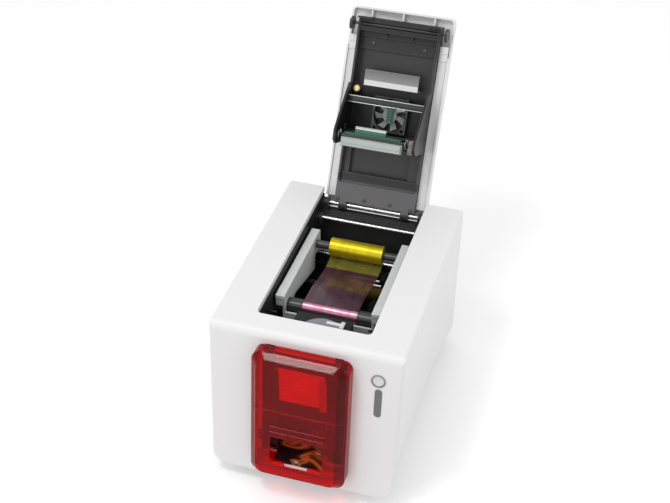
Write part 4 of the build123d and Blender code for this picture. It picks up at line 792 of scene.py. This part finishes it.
lip = bar("stackLip", (-28.9, -139.31, 121.5), (-21.4, -138.56, 165.5), 0.0002)
pickFaces(lip, lambda centre, normal: normal.y < -0.9)
bpy.ops.mesh.inset(thickness=0.0009, depth=-0.0002)
bpy.ops.object.mode_set(mode="OBJECT")
farLip = copyMoved(lip, "stackLipFar", (50.3, 0, 0))
arm = bar("stackArm", (-28.9, -138.6, 121.5), (-27.5, -121.5, 170.1), 0.0003)
pickFaces(arm, lambda c, n: abs(n.x) > 0.9)
bpy.ops.mesh.inset(thickness=0.0020, depth=-0.0003)
bpy.ops.object.mode_set(mode="OBJECT")
farArm = copyMoved(arm, "stackArmFar", (56.4, 0, 0))
lipPaleLitCopy = mouldedPlastic("lipPaleLitCopy", (0.60, 0.60, 0.60), (0.54, 0.54, 0.54), 0.4, 1100.0, 0.0003, 0.1)
# painted light and shade: the near lip and its far copy are one part, the near one black and the far one pale grey, a
# shaded and a lit copy
for piece, finish in ((lip, wellBlack), (farLip, lipPaleLitCopy), (arm, wellBlack), (farArm, wellBlack)):
    settle(piece, "chassis", finish, onTable)

# weight that rests on the card stack: pale face, dark top
weight = bar("cardWeight", (-21.3, -138.2, 163.35), (27.2, -122.9, 169.2), 0.0004)
pickFaces(weight, lambda c, n: n.y < -0.9)
bpy.ops.mesh.inset(thickness=0.0010, depth=-0.0002)
bpy.ops.object.mode_set(mode="OBJECT")
settle(weight, "chassis", finishes["card_white"], onTable)
weightTop = bar("cardWeightTop", (-27.2, -138.0, 169.25), (27.4, -122.9, 170.1), 0.0003)
pickFaces(weightTop, lambda c, n: n.z > 0.9)
bpy.ops.mesh.inset(thickness=0.0012, depth=-0.0003)
bpy.ops.object.mode_set(mode="OBJECT")
settle(weightTop, "chassis", wellBlack, onTable)

# ribbed thumb grips at the front of the cartridge's rails
gripSetup = {
    "inner": 47.3, "outer": 57.4,
    "y": (-42.9, -26.0),
    "top": 178.3,
    "ribs": 5,
}


def thumbGrip():
    front, rear = gripSetup["y"]
    grip = bar("thumbGripLeft", (-gripSetup["outer"], front - 0.3, 171.4), (-gripSetup["inner"], rear, gripSetup["top"] - 0.6), 0.0004)
    pitch = (rear - front - 2.4) / gripSetup["ribs"]
    cuts = [front + 1.2 + pitch * (i + share) for i in range(gripSetup["ribs"]) for share in (0.2, 0.8)]
    for cut in cuts:
        bpy.ops.object.mode_set(mode="EDIT")
        bpy.ops.mesh.select_all(action="SELECT")
        bpy.ops.mesh.bisect(plane_co=(0, cut / 1000, 0), plane_no=(0, 1, 0))
        bpy.ops.object.mode_set(mode="OBJECT")
    for i in range(gripSetup["ribs"]):
        low, high = cuts[2 * i], cuts[2 * i + 1]
        pickFaces(grip, lambda c, n: n.z > 0.9 and low < c.y * 1000 < high and n.z > 0.99)
        bpy.ops.mesh.inset(thickness=0.0003, depth=0.0006)
        bpy.ops.object.mode_set(mode="OBJECT")
    return grip


leftGrip = thumbGrip()
bpy.ops.object.select_all(action="DESELECT")
leftGrip.select_set(True)
bpy.context.view_layer.objects.active = leftGrip
bpy.ops.object.duplicate()
rightGrip = bpy.context.object
rightGrip.scale = (-1, 1, 1)
rightGrip = namedPiece("thumbGripRight")
for piece in (leftGrip, rightGrip):
    settle(piece, "cartridge", finishes["cartridge_grey"], onTable)

# contacts inside the two rear sockets
socketSetup = {
    "x": -78.0,
    "network": 62.2, "pins": 8, "pitch": 1.02,
    "data": 93.0,
}
pins = []
for i in range(socketSetup["pins"]):
    x = socketSetup["x"] + (i - (socketSetup["pins"] - 1) / 2) * socketSetup["pitch"]
    pin = bar("contactPin", (x - 0.22, 130.0, socketSetup["network"] + 1.2),
              (x + 0.22, 136.6, socketSetup["network"] + 1.7), 0)
    pickFaces(pin, lambda c, n: n.y > 0.9)
    bpy.ops.mesh.extrude_region_move(TRANSFORM_OT_translate={"value": (0, 0.0006, 0.0009)})
    bpy.ops.object.mode_set(mode="OBJECT")
    pins.append(pin)
settle(join("networkContacts", pins), "chassis", finishes["brass"], onTable)
tongue = bar("dataTongue", (socketSetup["x"] - 2.4, 129.0, socketSetup["data"] - 1.5),
             (socketSetup["x"] + 2.4, 136.4, socketSetup["data"] + 1.5), 0.0004)
pickFaces(tongue, lambda c, n: n.y > 0.9)
bpy.ops.mesh.inset(thickness=0.0004, depth=0.0005)
bpy.ops.object.mode_set(mode="OBJECT")
settle(tongue, "chassis", finishes["gear_white"], onTable)
print("gauge and feeder trim done")

# ---- floor and studio light
studio = {
    "floor": 0.86,          # colour of the floor
    "floorLift": 0.28,      # light that only the camera and mirrors see on it
    "sky": 0.70,            # light that the sky gives
    "key": 5.0,
    "keyPlace": (-0.33, -0.46, 1.50),
    "fill": 2.5,
    "front": 2.2,
    "frontPlace": (-0.6, -1.3, 0.8),
    "fillPlace": (1.3, 0.3, 0.9),
}


def seenDirectly(tree):
    # 1 for rays from the camera, a mirror or a clear moulding
    path = addNode(tree, "ShaderNodeLightPath")
    first = addNode(tree, "ShaderNodeMath", operation="MAXIMUM")
    second = addNode(tree, "ShaderNodeMath", operation="MAXIMUM")
    tree.links.new(path.outputs["Is Camera Ray"], first.inputs[0])
    tree.links.new(path.outputs["Is Glossy Ray"], first.inputs[1])
    tree.links.new(first.outputs[0], second.inputs[0])
    tree.links.new(path.outputs["Is Transmission Ray"], second.inputs[1])
    return second


def whiteFloor():
    material, tree, shader = startMaterial("whiteFloor", (studio["floor"],) * 3, 0.9)
    fine = objectNoise(tree, 60.0, 2.0)
    tree.links.new(spread(tree, fine, 0.85, 0.95).outputs[0], shader.inputs["Roughness"])
    glow = addNode(tree, "ShaderNodeEmission")
    glow.inputs["Strength"].default_value = studio["floorLift"]
    nothing = addNode(tree, "ShaderNodeEmission")
    nothing.inputs["Strength"].default_value = 0.0
    pick = addNode(tree, "ShaderNodeMixShader")
    add = addNode(tree, "ShaderNodeAddShader")
    tree.links.new(seenDirectly(tree).outputs[0], pick.inputs["Fac"])
    tree.links.new(nothing.outputs[0], pick.inputs[1])
    tree.links.new(glow.outputs[0], pick.inputs[2])
    tree.links.new(shader.outputs[0], add.inputs[0])
    tree.links.new(pick.outputs[0], add.inputs[1])
    tree.links.new(add.outputs[0], tree.nodes["Material Output"].inputs["Surface"])
    return material


bpy.ops.mesh.primitive_plane_add(size=12, location=(0, 0, -0.0002))
floor = bpy.context.object
floor.name = "floor"
bpy.ops.object.transform_apply(location=True, rotation=True, scale=True)
floor.data.materials.append(whiteFloor())

world = bpy.data.worlds.new("softSky")
scene.world = world
world.use_nodes = True
worldTree = world.node_tree
skyLight = worldTree.nodes["Background"]
skyLight.inputs["Color"].default_value = (1.0, 1.0, 1.0, 1)
skyLight.inputs["Strength"].default_value = studio["sky"]
skySeen = addNode(worldTree, "ShaderNodeBackground")
skySeen.inputs["Color"].default_value = (1.0, 1.0, 1.0, 1)
skySeen.inputs["Strength"].default_value = 1.0
skyPick = addNode(worldTree, "ShaderNodeMixShader")
worldTree.links.new(seenDirectly(worldTree).outputs[0], skyPick.inputs["Fac"])
worldTree.links.new(skyLight.outputs[0], skyPick.inputs[1])
worldTree.links.new(skySeen.outputs[0], skyPick.inputs[2])
worldTree.links.new(skyPick.outputs[0], worldTree.nodes["World Output"].inputs["Surface"])


def softLamp(name, place, target, size, power):
    bpy.ops.object.light_add(type="AREA", location=place)
    lamp = bpy.context.object
    lamp.name = name
    lamp.data.shape = "RECTANGLE"
    lamp.data.size = size[0]
    lamp.data.size_y = size[1]
    lamp.data.energy = power
    lamp.rotation_euler = (Vector(target) - Vector(place)).to_track_quat("-Z", "Y").to_euler()


softLamp("keyLamp", studio["keyPlace"], (0, -0.19, 0.18), (0.42, 0.17), studio["key"])
softLamp("frontLamp", studio["frontPlace"], (0, -0.1, 0.1), (0.7, 0.7), studio["front"])
softLamp("fillLamp", studio["fillPlace"], (0, 0, 0.15), (0.6, 0.6), studio["fill"])
print("studio ready")
